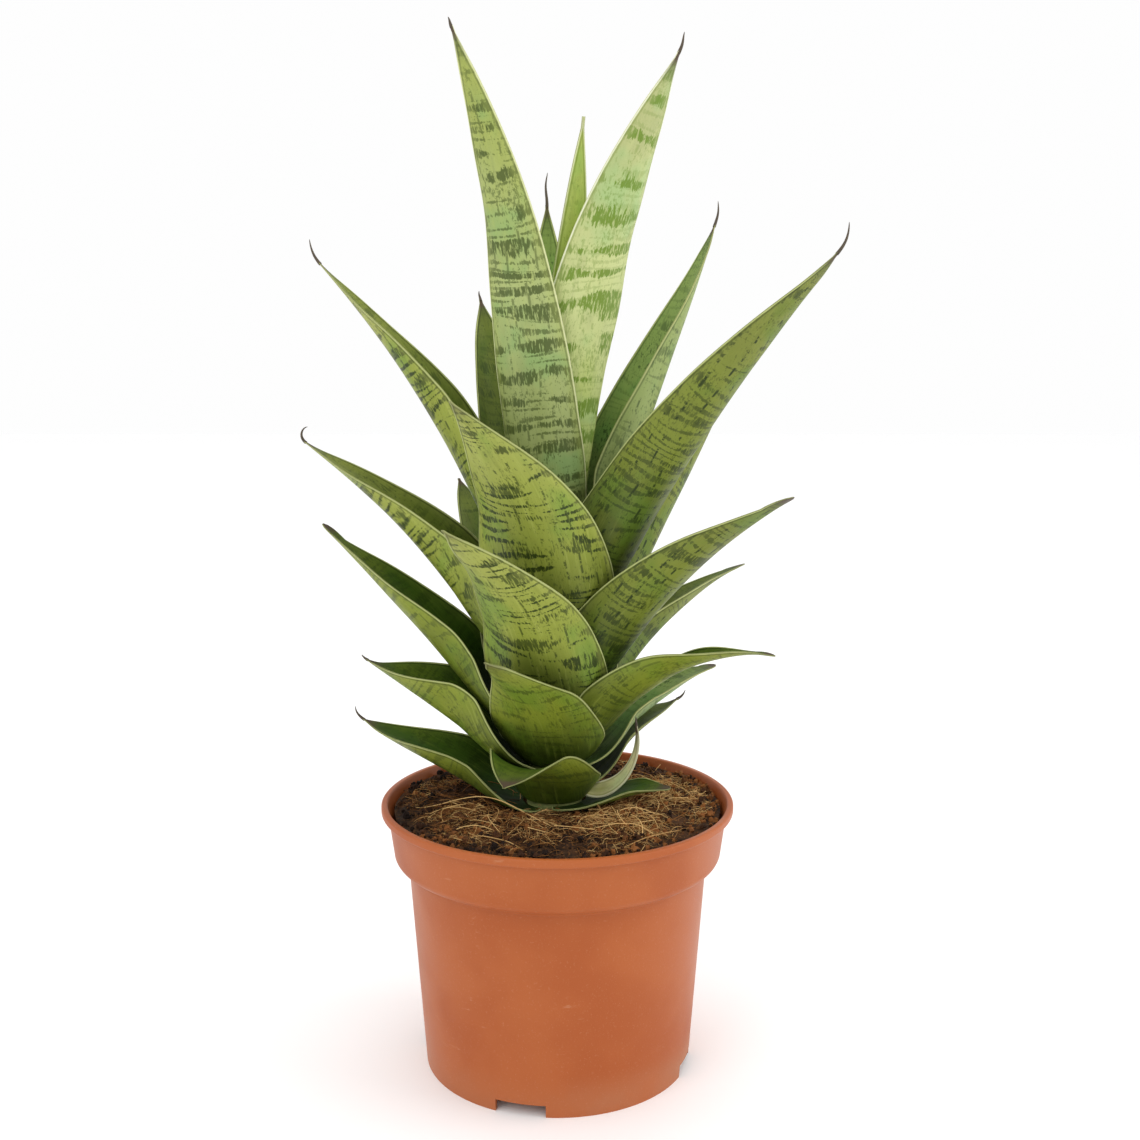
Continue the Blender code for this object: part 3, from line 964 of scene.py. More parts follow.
def ease_step(value: np.ndarray) -> np.ndarray:
    """Ease from 0 to 1.

    Args:
        value: the values to ease.

    Returns:
        The eased values.
    """
    value = np.clip(value, 0.0, 1.0)
    return value * value * (3.0 - 2.0 * value)


def unit_rows(vectors: np.ndarray) -> np.ndarray:
    """Vectors scaled to unit length."""
    return vectors / np.linalg.norm(vectors, axis=-1, keepdims=True)


def ring_faces(rings: int, segments: int, first: int = 0) -> list[list[int]]:
    """Faces between neighbouring closed rings of points.

    Args:
        rings: how many rings there are.
        segments: how many points are in each.
        first: number of the first ring's first point.

    Returns:
        The faces.
    """
    faces = []
    for ring in range(rings - 1):
        low = first + ring * segments
        for step in range(segments):
            after = (step + 1) % segments
            faces.append([low + step, low + after, low + segments + after, low + segments + step])
    return faces


@dataclass
class Leaf:
    """One leaf: a thin curved shell with an outer face, an inner face and two margins."""

    name: str
    form: LeafForm
    stem: Stem
    seed: float
    rows: int = 84
    columns: int = 21
    margin: float = 0.55 * MM
    base_thickness: float = 1.1 * MM
    body_thickness: float = 2.4 * MM
    thicken_length: float = 45.0 * MM
    tip_width: float = 0.9 * MM
    flare_angle: float = 34.0
    flare_length: float = 5.0 * MM
    freeing_reach: float = 12.0 * MM
    channel_reach: float = 20.0 * MM
    clasp_angle: float = 76.0
    clasp_limit: float = 19.0 * MM
    blunt_share: float = 0.09
    blunt_level: float = 0.18
    thread_overlap: float = 0.4
    long_swell: float = 9.5
    short_swell: float = 5.3

    @property
    def reach(self) -> float:
        """Share of the length that is fleshy; the dried thread goes on from there."""
        return 1.0 - self.thread_overlap * self.form.thread / self.form.length

    def midrib(self, along: np.ndarray) -> tuple[np.ndarray, ...]:
        """Track the middle of the leaf.

        Args:
            along: shares of the leaf's length.

        Returns:
            Radius, height, lean and azimuth at each share.
        """
        form = self.form
        steps = 240
        fine = np.linspace(0.0, 1.0, steps + 1)
        arc = fine * form.length * MM
        lean = np.radians(form.lean_base + (form.lean_tip - form.lean_base) * fine ** form.bend
                          + self.flare_angle * np.exp(-arc / self.flare_length))
        lean = np.minimum(lean, math.radians(max(88.0, form.lean_tip)))
        step = form.length * MM / steps
        middle = 0.5 * (lean[1:] + lean[:-1])
        start = self.stem.radius(form.base * MM) + 0.9 * MM + 0.5 * self.base_thickness
        radius = start + np.concatenate([[0.0], np.cumsum(np.sin(middle) * step)])
        height = form.base * MM + np.concatenate([[0.0], np.cumsum(np.cos(middle) * step)])
        heading = np.radians(form.azimuth + form.drift * fine ** 2)
        return tuple(np.interp(along, fine, track) for track in (radius, height, lean, heading))

    def width(self, along: np.ndarray) -> np.ndarray:
        """Width along the leaf: wrapped round the stem, then broad, then drawn out.

        Args:
            along: shares of the leaf's length.

        Returns:
            The width at each share, in metres.
        """
        form = self.form
        wrapped = 2.0 * math.radians(self.clasp_angle) * np.minimum(self.midrib(along)[0], self.clasp_limit)
        taper = np.clip(1.0 - along / self.reach, 0.0, 1.0)
        narrow = np.sin(0.5 * math.pi * taper ** 0.98) ** 0.85 * (1.0 - 0.45 * np.exp(-taper / 0.05))
        if form.end is Tip.BLUNT:
            bow = 1.0 - (1.0 - taper / self.blunt_share) ** 2
            rounded = self.blunt_level * np.sqrt(np.clip(bow, 0.0, 1.0))
            narrow = np.where(taper < self.blunt_share, np.maximum(narrow, rounded), narrow)
        hold = 1.0 - ease_step((along * form.length + 0.01) / (form.clasp_length + 0.001))
        return np.maximum(wrapped * hold + form.width * MM * narrow * (1.0 - hold), self.tip_width)

    def surface(self, along: np.ndarray, across: np.ndarray) -> np.ndarray:
        """Points of the leaf's middle surface.

        Args:
            along: shares of the length.
            across: places across, from -1 to 1.

        Returns:
            The points, in metres.
        """
        form = self.form
        radius, height, lean, heading = self.midrib(along)
        offset = 0.5 * across * self.width(along)
        zero = 0.0 * heading
        away = np.stack([np.sin(heading), -np.cos(heading), zero], -1)
        side = np.stack([np.cos(heading), np.sin(heading), zero], -1)
        up = np.array([0.0, 0.0, 1.0])
        turn = offset / radius
        clasp = (away * (radius * np.cos(turn))[..., None] + side * (radius * np.sin(turn))[..., None]
                 + up * height[..., None])
        hold = form.clasp_radius * MM
        free = ease_step((radius - hold) / self.freeing_reach)
        wrap = np.minimum(radius, hold)
        opened = ease_step((radius - hold) / self.channel_reach)
        curl = 1.0 / (wrap + (form.channel_radius * MM - wrap) * opened)
        inward = -np.cos(lean)[..., None] * away + np.sin(lean)[..., None] * up
        roll = math.radians(form.roll)
        inward, side = (math.cos(roll) * inward + math.sin(roll) * side,
                        math.cos(roll) * side - math.sin(roll) * inward)
        trough = (away * radius[..., None] + up * height[..., None]
                  + side * (np.sin(curl * offset) / curl)[..., None]
                  + inward * ((1.0 - np.cos(curl * offset)) / curl)[..., None])
        mixed = clasp * (1.0 - free)[..., None] + trough * free[..., None]
        return mixed + np.array([self.stem.x, self.stem.y, 0.0])

    def normals(self, along: np.ndarray, across: np.ndarray) -> np.ndarray:
        """Unit normals of the middle surface, on the outer side.

        Args:
            along: shares of the length.
            across: places across.

        Returns:
            The normals.
        """
        small = 1e-3
        ahead, behind = np.clip(along + small, 0.0, 1.0), np.clip(along - small, 0.0, 1.0)
        lengthwise = self.surface(ahead, across) - self.surface(behind, across)
        sideways = self.surface(along, across + small) - self.surface(along, across - small)
        return unit_rows(np.cross(sideways, lengthwise))

    def thickness(self, along: np.ndarray, across: np.ndarray) -> np.ndarray:
        """Thickness: fullest at the middle, thin at the margins and the tip.

        Args:
            along: shares of the length.
            across: places across.

        Returns:
            The thickness, in metres.
        """
        arc = along * self.form.length * MM
        middle = self.base_thickness + (self.body_thickness - self.base_thickness) * ease_step(
            arc / self.thicken_length)
        middle = middle * (1.0 - 0.75 * along ** 2)
        rim = self.margin * (1.0 - 0.3 * along)
        return rim + np.maximum(middle - self.margin, 0.0) * (1.0 - across ** 2)

    def ripple(self, along: np.ndarray, across: np.ndarray) -> np.ndarray:
        """Small swells of the leaf's surface, stronger at its margins.

        Args:
            along: shares of the length.
            across: places across.

        Returns:
            The shift along the normal, in metres.
        """
        arc = along * self.form.length
        phase = self.seed * 2.3
        swell = 0.5 * (np.sin(arc / self.long_swell + phase + 1.6 * across)
                       + np.sin(arc / self.short_swell + 2.1 * phase - 1.1 * across))
        grown = ease_step((along - 0.12) / 0.3) * ease_step((self.reach - along) / 0.08)
        return self.form.ruffle * MM * swell * (0.18 + 0.82 * np.abs(across) ** 3) * grown

    def grid(self) -> tuple[np.ndarray, np.ndarray, np.ndarray, np.ndarray]:
        """The leaf's rows and columns.

        Returns:
            Shares along, places across, points of the middle surface and normals.
        """
        along, across = np.meshgrid(self.reach * np.linspace(0.0, 1.0, self.rows) ** 1.05,
                                    np.sin(np.linspace(-0.5 * math.pi, 0.5 * math.pi, self.columns)),
                                    indexing="ij")
        normal = self.normals(along, across)
        middle = self.surface(along, across) + normal * self.ripple(along, across)[..., None]
        return along, across, middle, normal

    def build(self, finishes: dict[tuple[Tone, Side], bpy.types.Material]) -> bpy.types.Object:
        """Build the leaf and hide its solid.

        Args:
            finishes: the made leaf finishes.

        Returns:
            The leaf's object.
        """
        along, across, middle, normal = self.grid()
        half = 0.5 * self.thickness(along, across)[..., None]
        points = np.concatenate([middle + half * normal, (middle - half * normal)[:, ::-1]], axis=1)
        both = [np.concatenate([item, item[:, ::-1]], axis=1) for item in (along, across)]
        faces, sides = self.faces()
        mesh = bpy.data.meshes.new(self.name)
        mesh.from_pydata(points.reshape(-1, 3).tolist(), [], faces)
        self.mark(mesh, both[0], both[1])
        for side in Side:
            mesh.materials.append(finishes[self.form.tone, side])
        mesh.polygons.foreach_set("material_index", sides)
        mesh.shade_smooth()
        mesh.set_sharp_from_angle(angle=math.radians(50.0))
        leaf = add_object(self.name + "_blade", mesh)
        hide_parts(self.name)
        return leaf

    def faces(self) -> tuple[list[list[int]], list[int]]:
        """Faces of the closed shell and the side that each one is on.

        Returns:
            The faces and their material numbers.
        """
        ring = 2 * self.columns
        faces = ring_faces(self.rows, ring)
        outer, inner = Side.OUTER.value, Side.INNER.value
        row = [outer] * self.columns + [inner] * (self.columns - 1) + [outer]
        sides = row * (self.rows - 1)
        for start, turned in ((0, True), ((self.rows - 1) * ring, False)):
            for step in range(self.columns - 1):
                cap = [start + step, start + step + 1, start + ring - 2 - step, start + ring - 1 - step]
                faces.append(cap[::-1] if turned else cap)
                sides.append(outer)
        return faces, sides

    def mark(self, mesh: bpy.types.Mesh, along: np.ndarray, across: np.ndarray) -> None:
        """Store the leaf's own coordinates on its mesh.

        Args:
            mesh: the leaf's mesh.
            along: each point's share of the length.
            across: each point's place across.
        """
        half = 0.5 * self.width(along) / MM
        to_tip = (self.reach - along) * self.form.length
        values = {"along": along, "edge_mm": (1.0 - np.abs(across)) * half, "tip_mm": to_tip,
                  "leaf_seed": np.full_like(along, self.seed)}
        for name, value in values.items():
            layer = mesh.attributes.new(name, "FLOAT", "POINT")
            layer.data.foreach_set("value", value.reshape(-1).astype(np.float32))
        plan = np.stack([across * half / 10.0, along * self.form.length / 10.0], -1).reshape(-1, 2)
        corners = np.empty(len(mesh.loops), dtype=np.int32)
        mesh.loops.foreach_get("vertex_index", corners)
        layer = mesh.uv_layers.new(name="leaf_plan")
        layer.data.foreach_set("uv", plan[corners].reshape(-1).astype(np.float32))

    def edges(self) -> list[tuple[np.ndarray, np.ndarray, float]]:
        """Paths of the two margins.

        Returns:
            For each margin its points, its girth and its tint.
        """
        along, across, middle, _ = self.grid()
        share = along[:, 0]
        girth = (0.19 - 0.05 * share) * MM
        tint = 0.30 if self.form.tone in (Tone.DEEP, Tone.DARK) else 0.46
        tint = 0.85 if self.form.tone in (Tone.PALE, Tone.STRAW, Tone.SILVER) else tint
        return [(middle[:, column], girth, tint) for column in (0, -1)]

    def thread(self) -> tuple[np.ndarray, np.ndarray, float]:
        """Path of the dried thread at the tip.

        Returns:
            Its points, its girth and its tint.
        """
        form = self.form
        steps = 13
        share = np.linspace(0.0, 1.0, steps + 1)
        tip = self.surface(self.reach * np.array([0.965, 1.0]), np.zeros(2))
        ahead = unit_rows(tip[1] - tip[0])
        up = unit_rows(np.array([0.0, 0.0, 1.0]) - ahead * ahead[2])
        side = np.cross(ahead, up)
        length = (form.thread + 1.0) * MM
        turn = math.radians(form.thread_curl) * share ** 1.3
        step = length / steps
        forward = np.concatenate([[0.0], np.cumsum(np.cos(turn[1:]) * step)])
        upward = np.concatenate([[0.0], np.cumsum(np.sin(turn[1:]) * step)])
        sway = 0.05 * length * np.sin(share * 5.0 + self.seed) * share
        start = tip[1] - ahead * 0.6 * MM
        points = start + forward[:, None] * ahead + upward[:, None] * up + sway[:, None] * side
        girth = (0.50 * (1.0 - share) ** 0.7 + 0.08) * MM
        return points, girth, 0.25


LEAF_FORMS: dict[str, LeafForm] = {name: LeafForm(*sizes) for name, sizes in {
    "leaf_a0": (-99, 90.0, 64, 62, 1.0, 65, 42, 20, 14, 0, 22, 0, Tone.DEEP, Tip.THREAD, 5, 60, 0.7),
    "leaf_c1": (72, 90.8, 58, 84, 1.0, 31, 30, 20, 14, 0, 16, 0, Tone.DEEP, Tip.BLUNT, 0, 0, 0.5),
    "leaf_b1": (-14, 92.4, 10, 114, 1.0, 42, 50, 20, 16, -6, 19, 0, Tone.DEEP, Tip.PLAIN, 0, 0, 0.6),
    "dry_scale": (73, 94.5, 78, -14, 1.0, 36, 6.5, 6, 14, 0, 0, -46, Tone.STRAW, Tip.THREAD, 3, 10, 0.3),
    "leaf_d0": (123, 96.0, 42, 76, 1.0, 50, 26, 16, 12, 0, 5, 0, Tone.DARK, Tip.THREAD, 4, 40, 0.9),
    "leaf_e1": (197, 98.0, 46, 64, 1.0, 40, 28, 18, 14, 0, 9, 0, Tone.DEEP, Tip.PLAIN, 0, 0, 0.5),
    "leaf_a1": (-97, 102.0, 48, 61, 1.0, 67, 58, 22, 12, 0, 22, 0, Tone.DEEP, Tip.THREAD, 2, 20, 0.7),
    "leaf_d1": (121, 103.5, 46, 80, 1.0, 64, 34, 18, 12, 0, 18, 0, Tone.BLUE, Tip.BLUNT, 0, 0, 0.9),
    "leaf_b2": (-8, 105.0, 26, 50, 1.0, 58, 48, 22, 20, -18, 28, 0, Tone.DEEP, Tip.PLAIN, 0, 0, 1.5),
    "leaf_e2": (195, 107.0, 40, 57, 1.0, 62, 38, 20, 14, 0, 26, 0, Tone.DEEP, Tip.PLAIN, 0, 0, 0.5),
    "leaf_c2": (58, 110.0, 35, 91, 1.4, 85, 36, 15, 12, 0, 18, 8, Tone.DEEP, Tip.BLUNT, 0, 0, 1.4),
    "leaf_a2": (-97, 111.5, 38, 46, 1.0, 102, 46, 22, 13, 0, 30, 0, Tone.DEEP, Tip.BLUNT, 0, 0, 0.5),
    "leaf_d2": (123, 114.0, 34, 76, 1.2, 91, 38, 17, 12, 0, 20, 14, Tone.DARK, Tip.BLUNT, 0, 0, 0.7),
    "leaf_b3": (-9, 117.0, 25, 46, 1.0, 95, 52, 22, 20, -20, 38, 0, Tone.OLIVE, Tip.PLAIN, 0, 0, 0.6),
    "leaf_e3": (212, 120.5, 31, 42, 1.0, 96, 42, 21, 14, 0, 20, 0, Tone.DARK, Tip.PLAIN, 0, 0, 0.5),
    "leaf_c3": (57, 126.0, 32, 61, 1.3, 109, 48, 17, 13, 0, 25, 7, Tone.DARK, Tip.BLUNT, 0, 0, 0.4),
    "leaf_a3": (-97, 128.0, 24, 56, 0.9, 118, 54, 24, 14, 0, 42, 0, Tone.OLIVE, Tip.THREAD, 6, 130, 0.4),
    "leaf_d3": (122, 131.5, 31, 32, 1.0, 133, 43, 15, 12, 0, 22, 12, Tone.DARK, Tip.THREAD, 3, 10, 0.4),
    "leaf_b4": (-5, 137.0, 20, 34, 1.0, 106, 60, 24, 22, -26, 46, 0, Tone.OLIVE, Tip.PLAIN, 0, 0, 0.4),
    "leaf_e4": (207, 143.0, 19, 26, 1.0, 131, 46, 24, 14, 0, 46, 0, Tone.DARK, Tip.THREAD, 3, 0, 0.3),
    "leaf_c4": (60, 149.0, 28, 43, 1.2, 157, 52, 16, 12, 0, 36, 8, Tone.DARK, Tip.THREAD, 9, 42, 0.3),
    "leaf_a4": (-94, 155.0, 17, 43, 1.0, 141, 52, 24, 14, 0, 48, 0, Tone.OLIVE, Tip.THREAD, 8, 40, 0.3),
    "leaf_d4": (119, 161.0, 24, 22, 1.0, 141, 50, 15, 12, 0, 24, 12, Tone.BLUE, Tip.THREAD, 8, 22, 0.3),
    "leaf_b5": (-20, 169.0, 7, 29, 1.3, 177, 33, 20, 12, -9, 56, 0, Tone.SILVER, Tip.THREAD, 2, 0, 0.3),
    "leaf_e5": (187, 174.0, 7, 4, 1.0, 124, 32, 18, 14, 0, 36, 0, Tone.BLUE, Tip.THREAD, 11, -25, 0.2),
    "leaf_c5": (41, 179.0, 4, 37, 1.4, 164, 46, 18, 18, 0, 40, 0, Tone.PALE, Tip.THREAD, 5, 25, 0.3),
    "leaf_b6": (24, 190.0, 0, 14, 1.0, 127, 19, 14, 9, 0, 20, 0, Tone.YOUNG, Tip.PLAIN, 0, 0, 0.2),
}.items()}


# ---------------------------------------------------------------------------- the rosette
def paths_mesh(name: str, paths: list[tuple[np.ndarray, np.ndarray, float]]) -> bpy.types.Mesh:
    """Paths as a mesh of edges with girth and tint.

    Args:
        name: the mesh's name.
        paths: for each path its points, its girth and its tint.

    Returns:
        The mesh.
    """
    points, edges, girths, tints = [], [], [], []
    for track, girth, tint in paths:
        first = len(points)
        points += track.tolist()
        edges += [(first + step, first + step + 1) for step in range(len(track) - 1)]
        girths += list(girth)
        tints += [tint] * len(track)
    mesh = bpy.data.meshes.new(name)
    mesh.from_pydata(points, edges, [])
    for label, values in (("girth", girths), ("tint", tints)):
        mesh.attributes.new(label, "FLOAT", "POINT").data.foreach_set("value", values)
    return mesh


@dataclass
class Rosette:
    """Every leaf, with the beads along their margins and the dried threads at their tips."""

    stem: Stem
    forms: dict[str, LeafForm]

    def build(self, strands: GeometryTree) -> list[bpy.types.Object]:
        """Build and dress the leaves.

        Args:
            strands: the tree that makes strands.

        Returns:
            The pieces.
        """
        finishes = {key: finish.make() for key, finish in LEAF_FINISHES.items()}
        leaves = [Leaf(name, form, self.stem, 1.0 + 1.37 * number)
                  for number, (name, form) in enumerate(self.forms.items())]
        pieces = []
        for leaf in leaves:
            pieces.append(leaf.build(finishes))
            LOG.info("%s built, ends in %s", leaf.name, leaf.form.end.value)
        return pieces + [self.margins(leaves, strands), self.threads(leaves, strands)]

    def margins(self, leaves: list[Leaf], strands: GeometryTree) -> bpy.types.Object:
        """Thin pale beads along the leaves' margins.

        Args:
            leaves: the leaves.
            strands: the tree that makes strands.

        Returns:
            One piece with every bead.
        """
        finish = TintedFinish("margin_cream", 0.55, dark=(0.10, 0.12, 0.030), mid=(0.34, 0.36, 0.13),
                              light=(0.66, 0.67, 0.42), cells=350.0).make()
        paths = [path for leaf in leaves for path in leaf.edges()]
        beads = strands.apply("leaf_margins", paths_mesh("margin_paths", paths), Sides=6, Finish=finish)
        LOG.info("margins built along %d edges", len(paths))
        return beads

    def threads(self, leaves: list[Leaf], strands: GeometryTree) -> bpy.types.Object:
        """Dried threads at the tips that have them.

        Args:
            leaves: the leaves.
            strands: the tree that makes strands.

        Returns:
            One piece with every thread.
        """
        finish = TintedFinish("thread_brown", 0.7, dark=(0.045, 0.035, 0.025), mid=(0.14, 0.11, 0.075),
                              light=(0.30, 0.25, 0.18), cells=500.0).make()
        paths = [leaf.thread() for leaf in leaves if leaf.form.end is Tip.THREAD]
        threads = strands.apply("dried_tips", paths_mesh("thread_paths", paths), Sides=7, Finish=finish)
        LOG.info("dried threads built on %d tips", len(paths))
        return threads


# ---------------------------------------------------------------------------- pot and soil
@dataclass
class Pot:
    """Round nursery pot: tapered body, stepped collar, rolled lip and a notched foot."""

    height: float = 92.4 * MM
    rim_radius: float = 60.0 * MM
    lip_depth: float = 2.8 * MM
    lip_width: float = 2.3 * MM
    collar_top: float = 57.7 * MM
    collar_bottom: float = 55.9 * MM
    collar_z: float = 72.4 * MM
    collar_round: float = 3.4 * MM
    body_top: float = 51.1 * MM
    foot_radius: float = 45.9 * MM
    wall: float = 1.5 * MM
    floor_under: float = 5.2 * MM
    floor_top: float = 7.0 * MM
    foot_inner: float = 44.2 * MM
    notches: int = 4
    notch_width: float = 17.0 * MM
    notch_height: float = 4.2 * MM
    notch_depth: float = 8.0 * MM
    first_azimuth: float = -15.0
    steps: int = 192

    def outside(self) -> list[tuple[float, float]]:
        """Section of the outside, from the foot to under the lip.

        Returns:
            Radius and height of each corner.
        """
        slope = (self.body_top - self.foot_radius) / self.collar_z
        section = [(self.foot_radius, 0.0), (self.body_top - slope * 1.5 * MM, self.collar_z - 1.5 * MM),
                   (self.body_top + 0.6 * MM, self.collar_z - 0.5 * MM)]
        for step in range(9):
            turn = math.radians(90.0 * step / 8.0)
            section.append((self.collar_bottom - self.collar_round * (1.0 - math.sin(turn)),
                            self.collar_z + self.collar_round * (1.0 - math.cos(turn))))
        return section

    def rim(self) -> list[tuple[float, float]]:
        """Section of the lip, over the top.

        Returns:
            Radius and height of each corner.
        """
        under = self.height - self.lip_depth
        return [(self.collar_top, under - 0.4 * MM), (self.rim_radius - 0.3 * MM, under),
                (self.rim_radius, under + 0.5 * MM), (self.rim_radius, self.height - 0.5 * MM),
                (self.rim_radius - 0.5 * MM, self.height),
                (self.rim_radius - self.lip_width + 0.4 * MM, self.height),
                (self.rim_radius - self.lip_width, self.height - 0.6 * MM)]

    def inside(self) -> list[tuple[float, float]]:
        """Section of the inside, down to the edge of the floor.

        Returns:
            Radius and height of each corner.
        """
        return [(self.collar_top - self.wall, self.height - 5.0 * MM),
                (self.collar_bottom - self.wall, self.collar_z + 3.2 * MM),
                (self.collar_bottom - self.wall - 1.6 * MM, self.collar_z + 1.2 * MM),
                (self.body_top - self.wall, self.collar_z - 0.6 * MM),
                (self.foot_inner + 0.6 * MM, self.floor_top + 1.2 * MM),
                (self.foot_inner - 0.8 * MM, self.floor_top)]

    def under(self) -> list[tuple[float, float]]:
        """Section of the floor and the inside of the foot.

        Returns:
            Radius and height of each corner.
        """
        return [(0.0, self.floor_top), (0.0, self.floor_under), (self.foot_inner, self.floor_under),
                (self.foot_inner, 0.0)]

    def section(self) -> list[tuple[float, float]]:
        """The whole closed section, with soft corners.

        Returns:
            Radius and height of each point; the first point is repeated at the end.
        """
        corners = self.outside() + self.rim() + self.inside() + self.under()
        points = []
        for number, corner in enumerate(corners):
            before = np.array(corners[number - 1]) - corner
            after = np.array(corners[(number + 1) % len(corners)]) - corner
            reach = min(0.45 * MM, 0.4 * np.linalg.norm(before), 0.4 * np.linalg.norm(after))
            if corner[0] < 1e-6 or corner[1] < 1e-6:
                points.append(corner)
                continue
            start = np.array(corner) + before / np.linalg.norm(before) * reach
            end = np.array(corner) + after / np.linalg.norm(after) * reach
            for share in (0.0, 1.0 / 3.0, 2.0 / 3.0, 1.0):
                point = ((1.0 - share) ** 2 * start + 2.0 * share * (1.0 - share) * np.array(corner)
                         + share ** 2 * end)
                points.append((float(point[0]), float(point[1])))
        return points + points[:1]

    def build(self) -> bpy.types.Object:
        """Build and dress the pot.

        Returns:
            The pot's object.
        """
        section = self.section()
        mesh = bpy.data.meshes.new("pot_section")
        mesh.from_pydata([(radius, 0.0, height) for radius, height in section],
                         [(step, step + 1) for step in range(len(section) - 1)], [])
        pot = turning_tree().apply(
            "nursery_pot", mesh, Steps=self.steps, Rows=len(section), Foot_Radius=self.foot_radius,
            Notch_Width=self.notch_width, Notch_Height=self.notch_height, Notch_Depth=self.notch_depth,
            First_Azimuth=math.radians(self.first_azimuth), Notches=self.notches,
            Finish=PotFinish("pot_terracotta_plastic", 0.42).make())
        pot.data.shade_smooth()
        pot.data.set_sharp_from_angle(angle=math.radians(28.0))
        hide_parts("pot")
        LOG.info("pot turned with %d faces", len(pot.data.polygons))
        return pot


@dataclass
class Soil:
    """Mounded peat with coir fibres and crumbs on it."""

    pot: Pot
    stem: Stem
    clearance: float = 0.4 * MM
    edge_z: float = 89.9 * MM
    top: tuple[Point, ...] = (
        (52.0, 90.0, 0.1), (48.0, 90.1, 0.15), (40.0, 90.6, 0.4), (33.0, 91.2, 0.7), (28.5, 91.2, 0.9),
        (24.0, 90.0, 1.0), (20.0, 89.0, 1.0), (15.0, 88.2, 1.0), (0.5, 88.0, 1.0))
    segments: int = 220
    rings: int = 80
    clod: float = 1.7 * MM

    def profile(self) -> np.ndarray:
        """Rings of the mounded top, from the pot's wall to the plant.

        Returns:
            Radius, height and shift towards the plant of each ring.
        """
        outer = self.pot.collar_top - self.pot.wall - 0.6 * MM
        keys = np.array([(outer / MM, self.edge_z / MM, 0.0), *self.top])
        share = np.linspace(0.0, 1.0, self.rings)
        radius = keys[0, 0] + (keys[-1, 0] - keys[0, 0]) * share
        order = keys[::-1]
        height = np.interp(radius, order[:, 0], order[:, 1])
        shift = np.interp(radius, order[:, 0], order[:, 2])
        return np.stack([radius * MM, height * MM, shift], -1)

    def ring(self, radius: float, height: float, shift: float, rough: float) -> list[Point]:
        """One ring of points, lifted and sunk by clods.

        Args:
            radius: the ring's radius.
            height: its height.
            shift: share of the way from the pot's axis to the plant's.
            rough: the clods' size.

        Returns:
            The points.
        """
        points = []
        for step in range(self.segments):
            angle = FULL_TURN * step / self.segments
            x = shift * self.stem.x + radius * math.cos(angle)
            y = shift * self.stem.y + radius * math.sin(angle)
            coarse = noise.noise(Vector((x * 150.0, y * 150.0, 3.0)))
            fine = noise.noise(Vector((x * 420.0, y * 420.0, 9.0)))
            points.append((x, y, height + rough * (0.7 * coarse + 0.45 * fine)))
        return points

    def build_mass(self) -> bpy.types.Object:
        """Build the soil itself as one closed body.

        Returns:
            The soil's object.
        """
        points: list[Point] = [(0.0, 0.0, self.pot.floor_top + 0.3 * MM)]
        for radius, height in reversed(self.pot.inside()[1:]):
            points += self.ring(radius - self.clearance, height + self.clearance, 0.0, 0.0)
        top = self.profile()
        for number, (radius, height, shift) in enumerate(top):
            points += self.ring(radius, height, shift, self.clod * min(1.0, number / 3.0))
        points.append((self.stem.x, self.stem.y, float(top[-1][1])))
        rings = (len(points) - 2) // self.segments
        faces = ring_faces(rings, self.segments, 1)
        last = 1 + (rings - 1) * self.segments
        for step in range(self.segments):
            after = (step + 1) % self.segments
            faces.append([0, 1 + after, 1 + step])
            faces.append([last + step, last + after, len(points) - 1])
        mesh = bpy.data.meshes.new("soil_mass")
        mesh.from_pydata(points, [], faces)
        mesh.materials.append(SoilFinish("soil_peat", 0.95, 0.2).make())
        mesh.shade_smooth()
        mass = add_object("soil_mass", mesh)
        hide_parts("soil")
        return mass

    def bed(self, reach: float) -> bpy.types.Mesh:
        """A coarse copy of the top, where the litter lies.

        Args:
            reach: the bed's outer radius.

        Returns:
            The mesh.
        """
        top = [row for row in self.profile()[::3] if 8.0 * MM < row[0] < reach]
        points = []
        for radius, height, shift in top:
            points += self.ring(radius, height, shift, self.clod)
        mesh = bpy.data.meshes.new("soil_bed")
        mesh.from_pydata(points, [], ring_faces(len(top), self.segments))
        return mesh

    def build(self, strands: GeometryTree) -> list[bpy.types.Object]:
        """Build the soil and what lies on it.

        Args:
            strands: the tree that makes strands.

        Returns:
            The pieces.
        """
        mass = self.build_mass()
        coir = TintedFinish("coir_golden", 0.8, 0.2, dark=(0.045, 0.017, 0.006), mid=(0.27, 0.11, 0.026),
                            light=(0.78, 0.50, 0.20))
        peat = TintedFinish("peat_crumb", 0.95, 0.2, dark=(0.012, 0.006, 0.004), mid=(0.060, 0.024, 0.010),
                            light=(0.26, 0.10, 0.028), cells=1400.0, depth=0.0003)
        fibre_tree, crumb_tree = litter_tree(Litter.FIBRES), litter_tree(Litter.CRUMBS)
        fibres = fibre_tree.apply(
            "coir_fibres", self.bed(45.0 * MM), Density=170000.0, Smallest=5.0 * MM, Largest=16.0 * MM,
            Lift=1.4 * MM, Tilt=0.30, Flatness=1.0, Seed=11, Finish=coir.make())
        tufts = fibre_tree.apply(
            "coir_tufts", self.bed(52.6 * MM), Density=700000.0, Smallest=2.0 * MM, Largest=6.4 * MM,
            Lift=1.0 * MM, Tilt=0.6, Flatness=1.6, Seed=37, Finish=coir.make())
        crumbs = crumb_tree.apply(
            "peat_crumbs", self.bed(56.0 * MM), Density=250000.0, Smallest=0.25 * MM, Largest=1.6 * MM,
            Lift=0.9 * MM, Tilt=3.0, Flatness=0.8, Seed=23, Finish=peat.make())
        pieces = [mass, fibres, tufts, crumbs, self.long_fibres(strands, coir)]
        LOG.info("soil built with %d litter faces", sum(len(piece.data.polygons) for piece in pieces[1:]))
        return pieces

